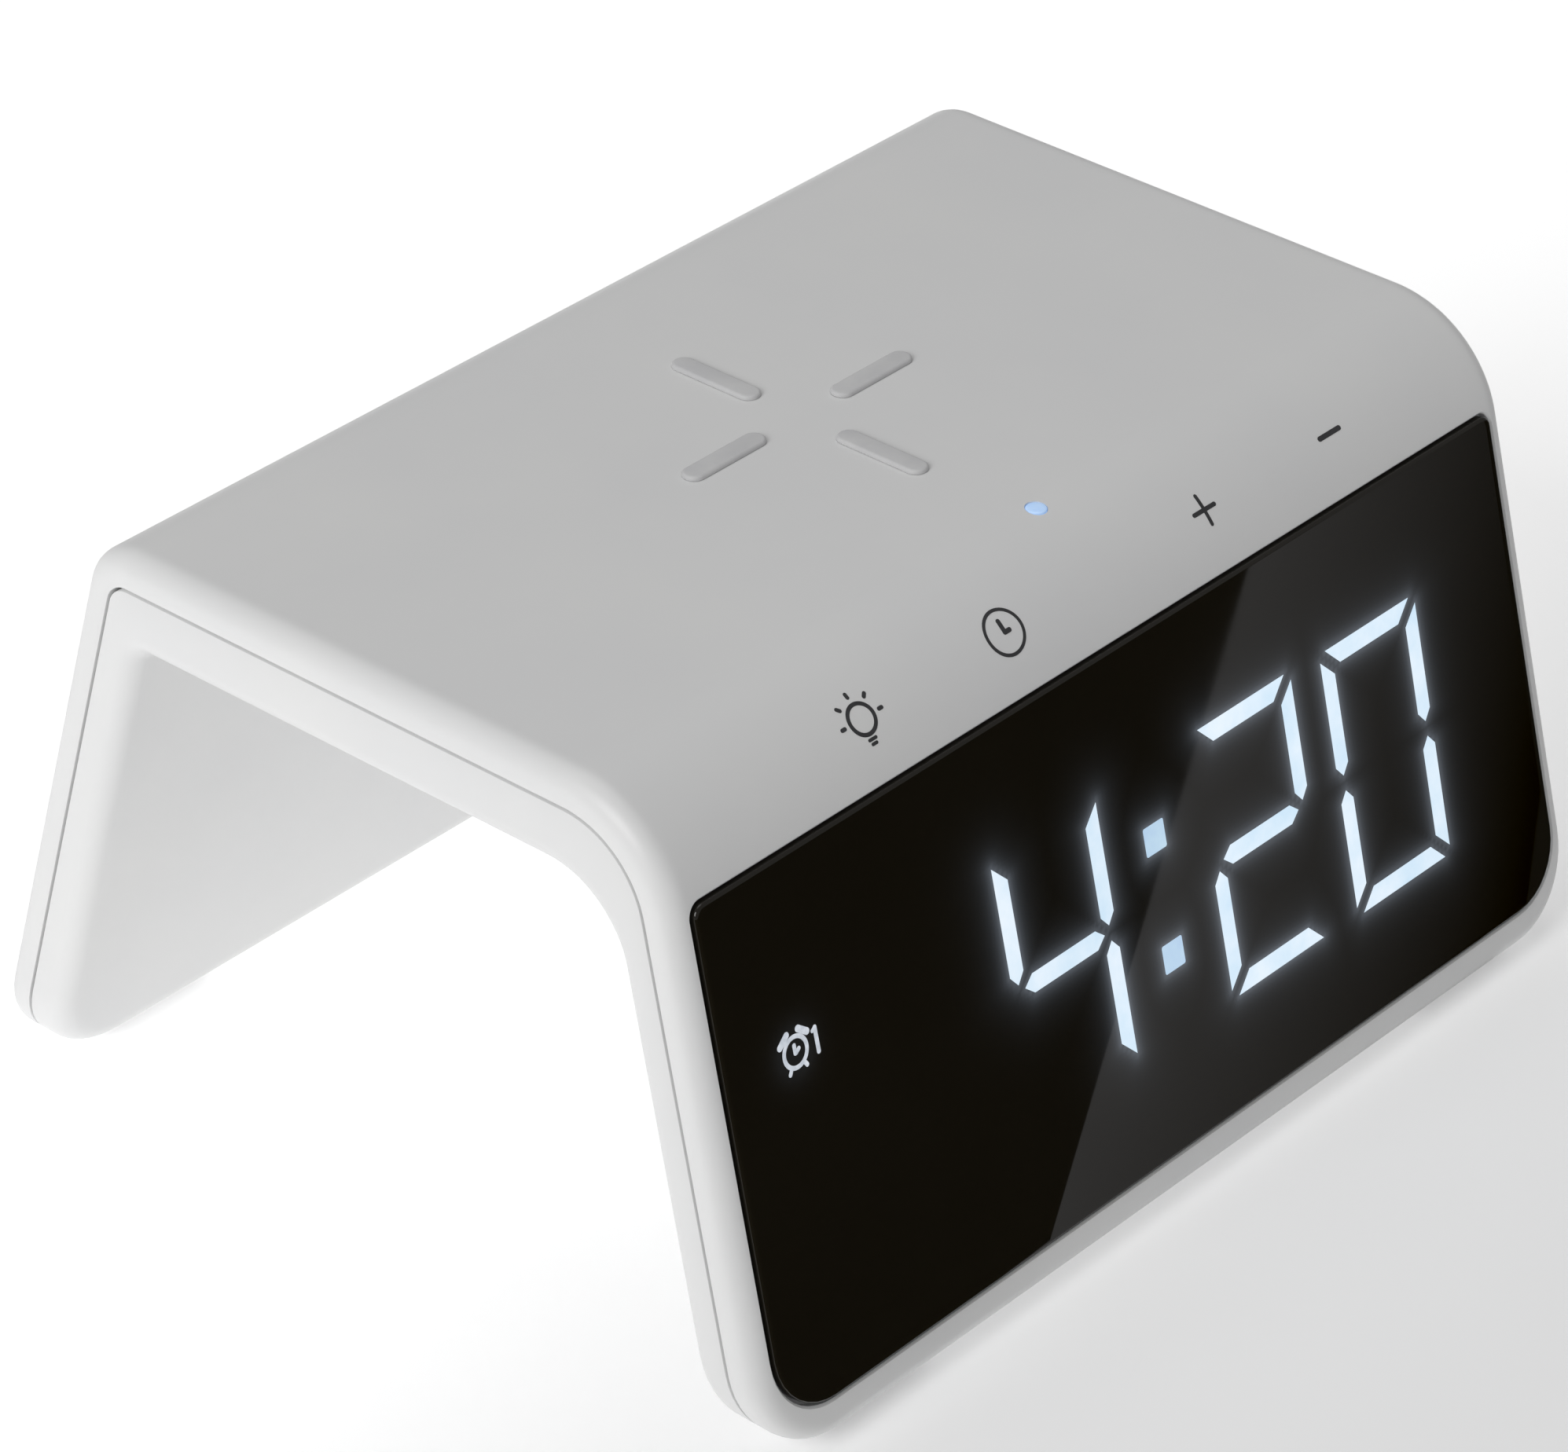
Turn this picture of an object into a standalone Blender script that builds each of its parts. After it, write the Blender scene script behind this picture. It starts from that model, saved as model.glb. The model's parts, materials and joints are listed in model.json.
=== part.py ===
"""Bedside clock radio with a wireless charging shelf.

The casing is one white bridge that stands on two legs: the front leg carries the display
glass, the flat shelf on top charges a telephone, and the back leg leans outwards. The casing
splits along its end faces into an outer and an inner shell.

All sizes are in millimetres and are turned into metres where meshes are made. X runs along
the display, the display faces -Y, and the feet stand on Z = 0.
"""

import math

import bmesh
import bpy
from mathutils import Matrix, Vector

MM = 0.001

# Overall casing
WIDTH = 120.0
DEPTH = 100.0
HEIGHT = 64.4
GROUND_GAP = 1.3
FRONT_TILT = math.radians(13.1)
BACK_TILT = math.radians(15.6)
SIDE_DRAFT = math.radians(1.0)
LEG_THICKNESS = 7.8
SHELF_THICKNESS = 10.1
FRONT_BEND = 13.0
FRONT_INNER_BEND = 9.0
BACK_BEND = 6.0
BACK_INNER_BEND = 2.0
LEG_CORNER = 9.0
EDGE_ROUNDING = 2.2
BEVEL_STEPS = 3
BEVEL_FROM_ANGLE = math.radians(50.0)

# Shells
WALL = 1.6
FRONT_WALL = 2.0
END_WALL = 1.8
LEG_END_WALL = 2.4
SEAM_DEPTH = 3.5
SEAM_OVERLAP = 1.5
GAP = 0.3
BEYOND = 6.0

# Display
GLASS_WIDTH = 115.0
GLASS_BOTTOM_Z = 5.4
GLASS_TOP_Z = 55.0
GLASS_THICKNESS = 1.1
GLASS_PROUD = 0.3
GLASS_CHAMFER = 0.35
GLASS_TOP_RADIUS = 1.2
GLASS_BOTTOM_RADIUS = 6.5
GLASS_LEDGE = 2.2
GLASS_CUT_REACH = 4.0
WINDOW_CUT_DEPTH = 3.0
DIFFUSER_THICKNESS = 0.7
DIFFUSER_TOP_RADIUS = 0.3
REFLECTOR_DEPTH = 2.3
REFLECTOR_THICKNESS = 2.5
DIGIT_CENTRES = (-32.5, -13.45, 15.3, 34.35)
DIGIT_WELL_HALF_WIDTH = 9.0
DIGIT_WELL_HALF_HEIGHT = 15.0
DIGIT_WELL_DEPTH = 1.5
DISPLAY_BOARD_DEPTH = 5.0
DISPLAY_BOARD_THICKNESS = 0.9
DISPLAY_BOARD_MARGIN = 3.0
BOARD_NOTCH_RADIUS = 1.5
MODULE_HALF_WIDTH = 50.0
MODULE_HALF_HEIGHT = 17.0
RIBBON_DEPTH = 5.4
RIBBON_THICKNESS = 0.25
RIBBON_LEFT_X = -37.0
RIBBON_RIGHT_X = -27.5
RIBBON_END_Y = -11.0
RIBBON_BENDS = (7.5, 2.0)

# Charging shelf
COIL_OUTER_RADIUS = 22.0
COIL_INNER_RADIUS = 9.0
COIL_THICKNESS = 1.5
COIL_GAP = 0.25
FERRITE_THICKNESS = 0.5
FERRITE_MARGIN = 1.0
TRAY_THICKNESS = 1.0
TRAY_MARGIN = 2.0
TRAY_RIM = 0.7
TRAY_CORNER = 4.0
SENSOR_RADIUS = 1.4
SENSOR_THICKNESS = 1.0
SENSOR_X = 4.5
GRIP_OFFSET = 10.3
GRIP_LENGTH = 10.5
GRIP_WIDTH = 2.4
GRIP_HEIGHT = 0.4
GRIP_SEAT = 0.05
GRIP_CHAMFER = 0.15
INDICATOR_X = 2.0
INDICATOR_Y = -27.0
INDICATOR_RADIUS = 1.0
INDICATOR_DEPTH = 1.2
LAMP_HALF_LENGTH = 1.2
LAMP_HALF_WIDTH = 0.8
LAMP_THICKNESS = 1.1

# Boards, with each chip as X, Y, half length, half width and height
BOARD_THICKNESS = 1.0
CHARGER_BOARD_LEVEL = 57.0
CHARGER_BOARD_BOX = (-23.0, 23.0, -22.0, 28.0)
CHARGER_CHIPS = ((-12.0, -6.0, 4.0, 4.0, 0.6), (8.0, -10.0, 3.0, 3.0, 0.6),
                 (12.0, 8.0, 2.5, 3.5, 0.6))
MAIN_BOARD_LEVEL = 57.3
MAIN_BOARD_BOX = (-57.0, -26.0, -15.0, 22.0)
MAIN_BOARD_CORNER = (-60.0, -45.5, 15.0, 30.0)
MAIN_CHIPS = ((-34.0, 2.0, 4.5, 4.5, 1.3), (-34.6, 15.0, 3.0, 2.0, 2.5),
              (-50.0, -9.0, 2.0, 3.0, 1.0))
CHIP_SEAT = 0.3
BOARD_CUT_LEVELS = (50.0, 64.0)
TUNER_BOX = (-55.0, -42.0, -2.0, 10.0)
TUNER_HEIGHT = 2.4

# Power inlet at the back
INLET_HALF_WIDTH = 4.5
INLET_HALF_HEIGHT = 1.6
INLET_ROUNDNESS = 0.95
INLET_X = -13.0
INLET_WALL = 0.35
INLET_LENGTH = 7.0
INLET_MOUTH_Y = 31.0
INLET_RAISE = 0.2
TONGUE_HALF_WIDTH = 3.2
TONGUE_HALF_THICKNESS = 0.35
TONGUE_SETBACK = 1.2

# Backup cell and its door
CELL_RADIUS = 10.0
CELL_THICKNESS = 3.2
CELL_X = 42.0
CELL_Y = 0.5
DOOR_START_X = 29.0
DOOR_HALF_WIDTH = 11.0
DOOR_FLANGE = 1.5
DOOR_LIP_X = 58.0
DOOR_PLATE = 1.3
DOOR_FLANGE_THICKNESS = 0.7
DOOR_GROOVES = 4
DOOR_GROOVE_X = 47.0
DOOR_GROOVE_PITCH = 2.0
DOOR_GROOVE_WIDTH = 0.8
DOOR_GROOVE_DEPTH = 0.4
DOOR_GROOVE_HALF_LENGTH = 6.0
CELL_RIM = 1.6
CELL_STEP = 0.5
CELL_EDGE = 0.2
HOLDER_WALL = 1.6
HOLDER_ROOF = 0.8
HOLDER_PLAY = 0.6
CONTACT_THICKNESS = 0.25
CONTACT_GAP = 0.25

# Loudspeaker, aerial and leads in the back leg
SPEAKER_RADIUS = 14.0
SPEAKER_RIM = 1.8
SPEAKER_Z = 28.0
GRILLE_ROWS = 5
GRILLE_PITCH = 3.6
GRILLE_SLOT = 1.6
GRILLE_RADIUS = 11.0
MAGNET_RADIUS = 6.8
MAGNET_LEVELS = (-5.9, -4.0)
AERIAL_BOX = (-54.0, -22.0, -3.0, 3.0)
AERIAL_LEVELS = (-5.9, -5.7)
LEAD_RADIUS = 0.45
LEAD_PITCH = 1.4
LEAD_DEPTH = 3.9
LEAD_DROP = ((28.0, 24.0), (28.0, 12.0), (22.0, 3.0), (15.2, 0.0))
LEAD_START = ((-30.0, 12.0, 0.9), (-30.0, 19.0, 1.0), (-28.6, 25.0, 0.2))

# Touch keys under the printed signs
TOUCH_KEYS = (("light", -30.9), ("clock", -11.55), ("plus", 16.95), ("minus", 35.7))
TOUCH_ANGLE = math.radians(44.5)
TOUCH_HALF_LENGTH = 4.0
TOUCH_HALF_WIDTH = 2.5
TOUCH_THICKNESS = 0.3
TOUCH_DEPTH = 0.7
FLEX_BOX = (-36.0, 41.0, -3.0, 3.0)
FLEX_THICKNESS = 0.2
FLEX_DEPTH = 1.25

# Feet
FOOT_X = 44.0
FOOT_LENGTH = 14.0
FOOT_WIDTH = 3.2
FOOT_INSET = 0.8

# Screws, with each size as head radius and height, then shank radius and length
CASE_SCREW_X = 49.0
CASE_SCREW_YS = (-18.0, 18.5)
CASE_SCREW_SIZE = (2.1, 1.1, 0.95, 5.2)
CASE_SCREW_SINK = 0.1
BOARD_SCREW_X = -40.0
BOARD_SCREW_YS = (-12.0, 14.0)
BOARD_SCREW_SIZE = (1.9, 0.8, 0.8, 3.3)
BOARD_HOLE_RADIUS = 1.2
POST_RADIUS = 2.6
POST_BORE_RADIUS = 1.25
POST_START = 1.7
CUP_RADIUS = 3.4
CUP_TOP = 1.4
RECESS_RADIUS = 2.5
RECESS_TOP = 0.2
REST_RADIUS = 2.2
REST_BORE_RADIUS = 1.1

# Levels that follow from the sizes above
SHELF_UNDERSIDE = HEIGHT - SHELF_THICKNESS
SHELF_FLOOR = SHELF_UNDERSIDE + WALL
SHELF_CEILING = HEIGHT - WALL
COIL_LEVEL = SHELF_CEILING - GAP - COIL_THICKNESS
INLET_LEVEL = CHARGER_BOARD_LEVEL + BOARD_THICKNESS + INLET_RAISE + INLET_HALF_HEIGHT
DOOR_TOP = SHELF_FLOOR + GAP + DOOR_FLANGE_THICKNESS
CELL_LEVEL = DOOR_TOP + GAP
GLASS_SEAT = GLASS_PROUD - GLASS_THICKNESS - GAP
FULL_TURN = 2.0 * math.pi


def rounding_pull(tilt):
    """How far the rounded bottom edge of a leaning leg stays short of its sharp corner."""
    return EDGE_ROUNDING * (1.0 - math.tan(math.radians(45.0) - tilt / 2.0))


FRONT_CORNER = Vector((-DEPTH / 2.0 - rounding_pull(FRONT_TILT), GROUND_GAP))
BACK_CORNER = Vector((DEPTH / 2.0 + rounding_pull(BACK_TILT), GROUND_GAP))
FRONT_NORMAL = Vector((-math.cos(FRONT_TILT), math.sin(FRONT_TILT)))
BACK_NORMAL = Vector((math.cos(BACK_TILT), math.sin(BACK_TILT)))


# ---------------------------------------------------------------------------
# Outlines
# ---------------------------------------------------------------------------

def y_on_leg(corner, normal, depth, height):
    """Y of a leg's plane, moved inwards by depth, at a height."""
    reach = normal.dot(corner) - depth
    return (reach - normal.y * height) / normal.x


def fillet(before, corner, after, radius, steps):
    """Points of the arc that rounds a corner of a path."""
    towards_before = (before - corner).normalized()
    towards_after = (after - corner).normalized()
    half = towards_before.angle(towards_after) / 2.0
    centre = corner + (towards_before + towards_after).normalized() * (radius / math.sin(half))
    first = corner + towards_before * (radius / math.tan(half)) - centre
    last = corner + towards_after * (radius / math.tan(half)) - centre
    sweep = first.angle(last)
    points = []
    for step in range(steps + 1):
        share = step / steps
        arm = first * math.sin((1.0 - share) * sweep) + last * math.sin(share * sweep)
        points.append(centre + arm / math.sin(sweep))
    return points


def arch(leg_depth, shelf_depth, radii, bottom, steps=(8, 5), front_depth=None):
    """Side view path from the front foot over the shelf to the back foot.

    The depths are measured inwards from the casing's outer surface, and radii are those of
    the front and the back bend.
    """
    front_depth = leg_depth if front_depth is None else front_depth
    top = HEIGHT - shelf_depth
    path = [
        Vector((y_on_leg(FRONT_CORNER, FRONT_NORMAL, front_depth, bottom), bottom)),
        Vector((y_on_leg(FRONT_CORNER, FRONT_NORMAL, front_depth, top), top)),
        Vector((y_on_leg(BACK_CORNER, BACK_NORMAL, leg_depth, top), top)),
        Vector((y_on_leg(BACK_CORNER, BACK_NORMAL, leg_depth, bottom), bottom)),
    ]
    points = [path[0]]
    for index, (radius, count) in enumerate(zip(radii, steps), start=1):
        points += fillet(path[index - 1], path[index], path[index + 1], radius, count)
    return points + [path[3]]


def outer_arch(depth, bottom, front_depth=None):
    """Path that follows the outer surface at a depth, with bends that share its centres."""
    return arch(depth, depth, (FRONT_BEND - depth, BACK_BEND - depth), bottom,
                front_depth=front_depth)


def inner_arch(height, bottom):
    """Path that follows the inner surface at a height above it."""
    radii = (FRONT_INNER_BEND + height, BACK_INNER_BEND + height)
    return arch(LEG_THICKNESS - height, SHELF_THICKNESS - height, radii, bottom, steps=(6, 3))


def box_corners(box, draft=0.0):
    """Corners of a left, right, low and high side, from the low left one.

    With a draft angle, the sides lean inwards above the box's low side.
    """
    left, right, low, high = box
    lean = (high - low) * math.tan(draft)
    return ((left, low), (right, low), (right - lean, high), (left + lean, high))


def rounded_outline(box, radii, steps=6, draft=0.0):
    """Closed outline of a box with a radius for each corner, from the low left one."""
    corners = [Vector(point) for point in box_corners(box, draft)]
    points = []
    for index, radius in enumerate(radii):
        before = corners[index - 1]
        after = corners[(index + 1) % 4]
        if radius > 0.0:
            points += fillet(before, corners[index], after, radius, steps)
        else:
            points.append(corners[index])
    return points


# ---------------------------------------------------------------------------
# Meshes and materials
# ---------------------------------------------------------------------------

def material(name, colour, roughness, metallic):
    """Principled material of one part."""
    made = bpy.data.materials.new(name)
    made.use_nodes = True
    shader = made.node_tree.nodes["Principled BSDF"]
    shader.inputs["Base Color"].default_value = (*colour, 1.0)
    shader.inputs["Roughness"].default_value = roughness
    shader.inputs["Metallic"].default_value = metallic
    return made


FINISHES = {
    "white": ((0.86, 0.86, 0.86), 0.38, 0.0),
    "pale": ((0.75, 0.75, 0.74), 0.50, 0.0),
    "black_glass": ((0.006, 0.006, 0.005), 0.06, 0.0),
    "black": ((0.02, 0.02, 0.02), 0.45, 0.0),
    "rubber": ((0.35, 0.35, 0.35), 0.80, 0.0),
    "silicone": ((0.78, 0.78, 0.78), 0.70, 0.0),
    "board": ((0.03, 0.20, 0.09), 0.45, 0.0),
    "copper": ((0.78, 0.38, 0.22), 0.35, 1.0),
    "ferrite": ((0.06, 0.06, 0.07), 0.65, 0.0),
    "steel": ((0.62, 0.62, 0.63), 0.30, 1.0),
    "tin": ((0.72, 0.73, 0.74), 0.38, 1.0),
    "film": ((0.70, 0.42, 0.10), 0.35, 0.0),
    "paper": ((0.09, 0.09, 0.10), 0.80, 0.0),
    "red": ((0.55, 0.03, 0.03), 0.45, 0.0),
    "clear": ((0.60, 0.75, 0.95), 0.15, 0.0),
}


def add_object(name, mesh, finish=None):
    """Put a mesh in the scene, with its own material when it is a part."""
    made = bpy.data.objects.new(name, mesh)
    bpy.context.scene.collection.objects.link(made)
    if finish is not None:
        colour, roughness, metallic = FINISHES[finish]
        mesh.materials.append(material(name + "_finish", colour, roughness, metallic))
        mesh.shade_smooth()
        mesh.set_sharp_from_angle(angle=math.radians(35.0))
    return made


def mesh_from(name, work):
    """Mesh in metres from a bmesh in millimetres, with its faces pointing out."""
    bmesh.ops.remove_doubles(work, verts=work.verts, dist=0.0001)
    bare_edges = [edge for edge in work.edges if not edge.link_faces]
    bmesh.ops.delete(work, geom=bare_edges, context="EDGES")
    bmesh.ops.recalc_face_normals(work, faces=work.faces)
    bmesh.ops.scale(work, vec=(MM, MM, MM), verts=work.verts)
    mesh = bpy.data.meshes.new(name)
    work.to_mesh(mesh)
    work.free()
    return mesh


def loft(name, loops, finish=None, closed=False):
    """Solid through equal loops of points, capped at both ends unless it is closed."""
    work = bmesh.new()
    rows = [[work.verts.new(point) for point in loop] for loop in loops]
    pairs = list(zip(rows, rows[1:]))
    if closed:
        pairs.append((rows[-1], rows[0]))
    for one, two in pairs:
        for index in range(len(one)):
            after = (index + 1) % len(one)
            work.faces.new((one[index], one[after], two[after], two[index]))
    if not closed:
        work.faces.new(rows[0])
        work.faces.new(rows[-1])
    return add_object(name, mesh_from(name, work), finish)


def prism_x(name, outline, left, right, finish=None):
    """Solid of a side view outline between two X positions."""
    loops = [[Vector((x, p.x, p.y)) for p in outline] for x in (left, right)]
    return loft(name, loops, finish)


def prism_y(name, outline, front, back, finish=None):
    """Solid of a front view outline between two Y positions."""
    loops = [[Vector((p.x, y, p.y)) for p in outline] for y in (front, back)]
    return loft(name, loops, finish)


def plate(name, box, radii, levels, frame=None, finish=None, chamfer=0.0, draft=0.0):
    """Flat plate with rounded corners between two levels, with an optional front chamfer."""
    frame = frame or Matrix.Identity(4)
    low, high = levels
    outline = rounded_outline(box, radii, draft=draft)
    loops = [[Vector((p.x, p.y, low)) for p in outline]]
    if chamfer > 0.0:
        left, right, bottom, top = box
        inner_box = (left + chamfer, right - chamfer, bottom + chamfer, top - chamfer)
        inner_radii = [radius - chamfer for radius in radii]
        inner = rounded_outline(inner_box, inner_radii, draft=draft)
        loops.append([Vector((p.x, p.y, high - chamfer)) for p in outline])
        loops.append([Vector((p.x, p.y, high)) for p in inner])
    else:
        loops.append([Vector((p.x, p.y, high)) for p in outline])
    return loft(name, [[frame @ point for point in loop] for loop in loops], finish)


def block(name, box, levels, frame=None, finish=None):
    """Plain block, used for boards, pockets and cutters."""
    return plate(name, box, (0.0, 0.0, 0.0, 0.0), levels, frame, finish)


def turned(name, profile, frame, finish=None, steps=24):
    """Solid of revolution about the frame's Z axis from a closed (radius, level) outline."""
    loops = []
    for step in range(steps):
        turn = FULL_TURN * step / steps
        loops.append([
            frame @ Vector((radius * math.cos(turn), radius * math.sin(turn), level))
            for radius, level in profile
        ])
    return loft(name, loops, finish, closed=True)


def disc(name, radius, levels, frame, finish=None, steps=24):
    """Plain cylinder on the frame's Z axis."""
    low, high = levels
    loops = []
    for level in (low, high):
        loops.append([
            frame @ Vector((radius * math.cos(FULL_TURN * step / steps),
                            radius * math.sin(FULL_TURN * step / steps), level))
            for step in range(steps)
        ])
    return loft(name, loops, finish)


def ring(name, radii, levels, frame, finish=None, steps=24):
    """Flat ring between an inner and an outer radius."""
    inner, outer = radii
    low, high = levels
    profile = ((inner, low), (outer, low), (outer, high), (inner, high))
    return turned(name, profile, frame, finish, steps)


def tube(name, points, radius, finish):
    """Round wire through a list of points, smoothed between them."""
    curve = bpy.data.curves.new(name, "CURVE")
    curve.dimensions = "3D"
    curve.bevel_depth = radius * MM
    curve.bevel_resolution = 1
    curve.use_fill_caps = True
    spline = curve.splines.new("POLY")
    path = smooth_path([Vector(point) for point in points])
    spline.points.add(len(path) - 1)
    for target, point in zip(spline.points, path):
        target.co = (*(point * MM), 1.0)
    made = bpy.data.objects.new(name, curve)
    bpy.context.scene.collection.objects.link(made)
    colour, roughness, metallic = FINISHES[finish]
    curve.materials.append(material(name + "_finish", colour, roughness, metallic))
    return made


def smooth_path(points, steps=4):
    """Catmull-Rom curve through the points, with a few steps on each stretch."""
    padded = [points[0] * 2.0 - points[1], *points, points[-1] * 2.0 - points[-2]]
    path = []
    for before, start, end, after in zip(padded, padded[1:], padded[2:], padded[3:]):
        for step in range(steps):
            t = step / steps
            path.append(0.5 * (
                2.0 * start
                + (end - before) * t
                + (2.0 * before - 5.0 * start + 4.0 * end - after) * t ** 2
                + (3.0 * start - before - 3.0 * end + after) * t ** 3
            ))
    path.append(points[-1])
    return path


def combine(target, tool, operation):
    """Exact Boolean of a hidden tool object on a part."""
    tool.hide_render = True
    tool.display_type = "WIRE"
    modifier = target.modifiers.new(tool.name, "BOOLEAN")
    modifier.operation = operation
    modifier.object = tool
    modifier.solver = "EXACT"


def cut(target, tool):
    """Take a tool's shape out of a part."""
    combine(target, tool, "DIFFERENCE")


def fuse(target, tool):
    """Add a tool's shape to a part."""
    combine(target, tool, "UNION")


def at(x, y, z=0.0):
    """Frame with world directions at a point."""
    return Matrix.Translation((x, y, z))


def leg_frame(corner, normal, side, height):
    """Frame on a leg's outer plane: local Y climbs the leg and local Z points out of it."""
    out = Vector((0.0, normal.x, normal.y))
    across = Vector((side, 0.0, 0.0))
    up = out.cross(across)
    place = Vector((0.0, y_on_leg(corner, normal, 0.0, height), height))
    frame = Matrix((across, up, out)).transposed().to_4x4()
    return Matrix.Translation(place) @ frame


GLASS_FRAME = leg_frame(FRONT_CORNER, FRONT_NORMAL, 1.0, (GLASS_BOTTOM_Z + GLASS_TOP_Z) / 2.0)
GLASS_HALF_HEIGHT = (GLASS_TOP_Z - GLASS_BOTTOM_Z) / 2.0 / math.cos(FRONT_TILT)
SPEAKER_FRAME = leg_frame(BACK_CORNER, BACK_NORMAL, -1.0, SPEAKER_Z)


# ---------------------------------------------------------------------------
# Casing
# ---------------------------------------------------------------------------

def front_view(half_width, bottom, corner):
    """Front view outline of the casing: leaning sides and rounded leg corners.

    The half width holds where the corner rounding ends.
    """
    low_half = half_width + corner * math.tan(SIDE_DRAFT)
    box = (-low_half, low_half, bottom, HEIGHT + 20.0)
    return rounded_outline(box, (corner, corner, 0.0, 0.0), steps=7, draft=SIDE_DRAFT)


def casing_solid(name, finish):
    """Whole casing before it is split and hollowed, with its edges rounded."""
    outline = outer_arch(0.0, 0.0) + inner_arch(0.0, 0.0)[::-1]
    solid = prism_x(name, outline, -WIDTH, WIDTH, finish)
    front = front_view(WIDTH / 2.0, GROUND_GAP, LEG_CORNER)
    combine(solid, prism_y(name + "_front_view", front, -DEPTH, DEPTH), "INTERSECT")
    bevel = solid.modifiers.new("edge_rounding", "BEVEL")
    bevel.width = EDGE_ROUNDING * MM
    bevel.segments = BEVEL_STEPS
    bevel.limit_method = "ANGLE"
    bevel.angle_limit = BEVEL_FROM_ANGLE
    bevel.use_clamp_overlap = False
    return solid


def hollow(name, outline, bottom):
    """Cutter for the space inside a shell, with the leg corners of the casing."""
    half_width = WIDTH / 2.0 - END_WALL
    cutter = prism_x(name, outline, -WIDTH, WIDTH)
    front = front_view(half_width, bottom, LEG_CORNER - END_WALL)
    trim = prism_y(name + "_front_view", front, -DEPTH, DEPTH)
    combine(cutter, trim, "INTERSECT")
    return cutter


def make_outer_shell():
    """Outer shell with the glass pocket, grille, inlet slot and screw posts."""
    shell = casing_solid("outer_shell", "white")
    seam = SEAM_DEPTH - GAP / 2.0
    zone = arch(-BEYOND, -BEYOND, (FRONT_BEND, BACK_BEND), -BEYOND)
    zone += outer_arch(seam, -BEYOND)[::-1]
    combine(shell, prism_x("outer_zone", zone, -2.0 * WIDTH, 2.0 * WIDTH), "INTERSECT")
    bottom = GROUND_GAP + LEG_END_WALL
    space = outer_arch(WALL, bottom, front_depth=FRONT_WALL)
    space += outer_arch(SEAM_DEPTH + SEAM_OVERLAP, bottom)[::-1]
    cut(shell, hollow("outer_hollow", space, bottom))

    half = GLASS_WIDTH / 2.0 + GAP
    tall = GLASS_HALF_HEIGHT + GAP
    low_radius = GLASS_BOTTOM_RADIUS + GAP
    high_radius = GLASS_TOP_RADIUS + GAP
    radii = (low_radius, low_radius, high_radius, high_radius)
    pocket = plate("glass_pocket", (-half, half, -tall, tall), radii,
                   (GLASS_SEAT, GLASS_CUT_REACH), GLASS_FRAME, draft=SIDE_DRAFT)
    cut(shell, pocket)
    half -= GLASS_LEDGE
    tall -= GLASS_LEDGE
    radii = (low_radius - GLASS_LEDGE, low_radius - GLASS_LEDGE, 0.0, 0.0)
    window = plate("glass_window", (-half, half, -tall, tall), radii,
                   (-WINDOW_CUT_DEPTH, GLASS_CUT_REACH), GLASS_FRAME, draft=SIDE_DRAFT)
    cut(shell, window)

    for index in range(GRILLE_ROWS):
        level = (index - (GRILLE_ROWS - 1) / 2.0) * GRILLE_PITCH
        half_slot = math.sqrt(GRILLE_RADIUS ** 2 - level ** 2)
        side = GRILLE_SLOT / 2.0
        box = (-half_slot, half_slot, level - side, level + side)
        radii = (side * 0.98,) * 4
        slot = plate("grille_slot_%d" % (index + 1), box, radii, (-3.0, 2.0), SPEAKER_FRAME)
        cut(shell, slot)

    inlet = plate("inlet_slot", inlet_box(GAP), (inlet_radius(GAP),) * 4, (-4.0, 8.0),
                  inlet_frame())
    cut(shell, inlet)

    for x, y, label in case_screw_places():
        post = disc("post_" + label, POST_RADIUS,
                    (SHELF_FLOOR + POST_START, SHELF_CEILING + 0.5), at(x, y))
        fuse(shell, post)
        bore = disc("post_bore_" + label, POST_BORE_RADIUS,
                    (SHELF_FLOOR, SHELF_CEILING - 1.0), at(x, y), steps=16)
        cut(shell, bore)

    hole = disc("indicator_hole", INDICATOR_RADIUS + GAP, (SHELF_CEILING - 1.0, HEIGHT + 1.0),
                at(INDICATOR_X, INDICATOR_Y), steps=16)
    cut(shell, hole)
    cut_foot_pockets(shell)
    return shell


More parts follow.
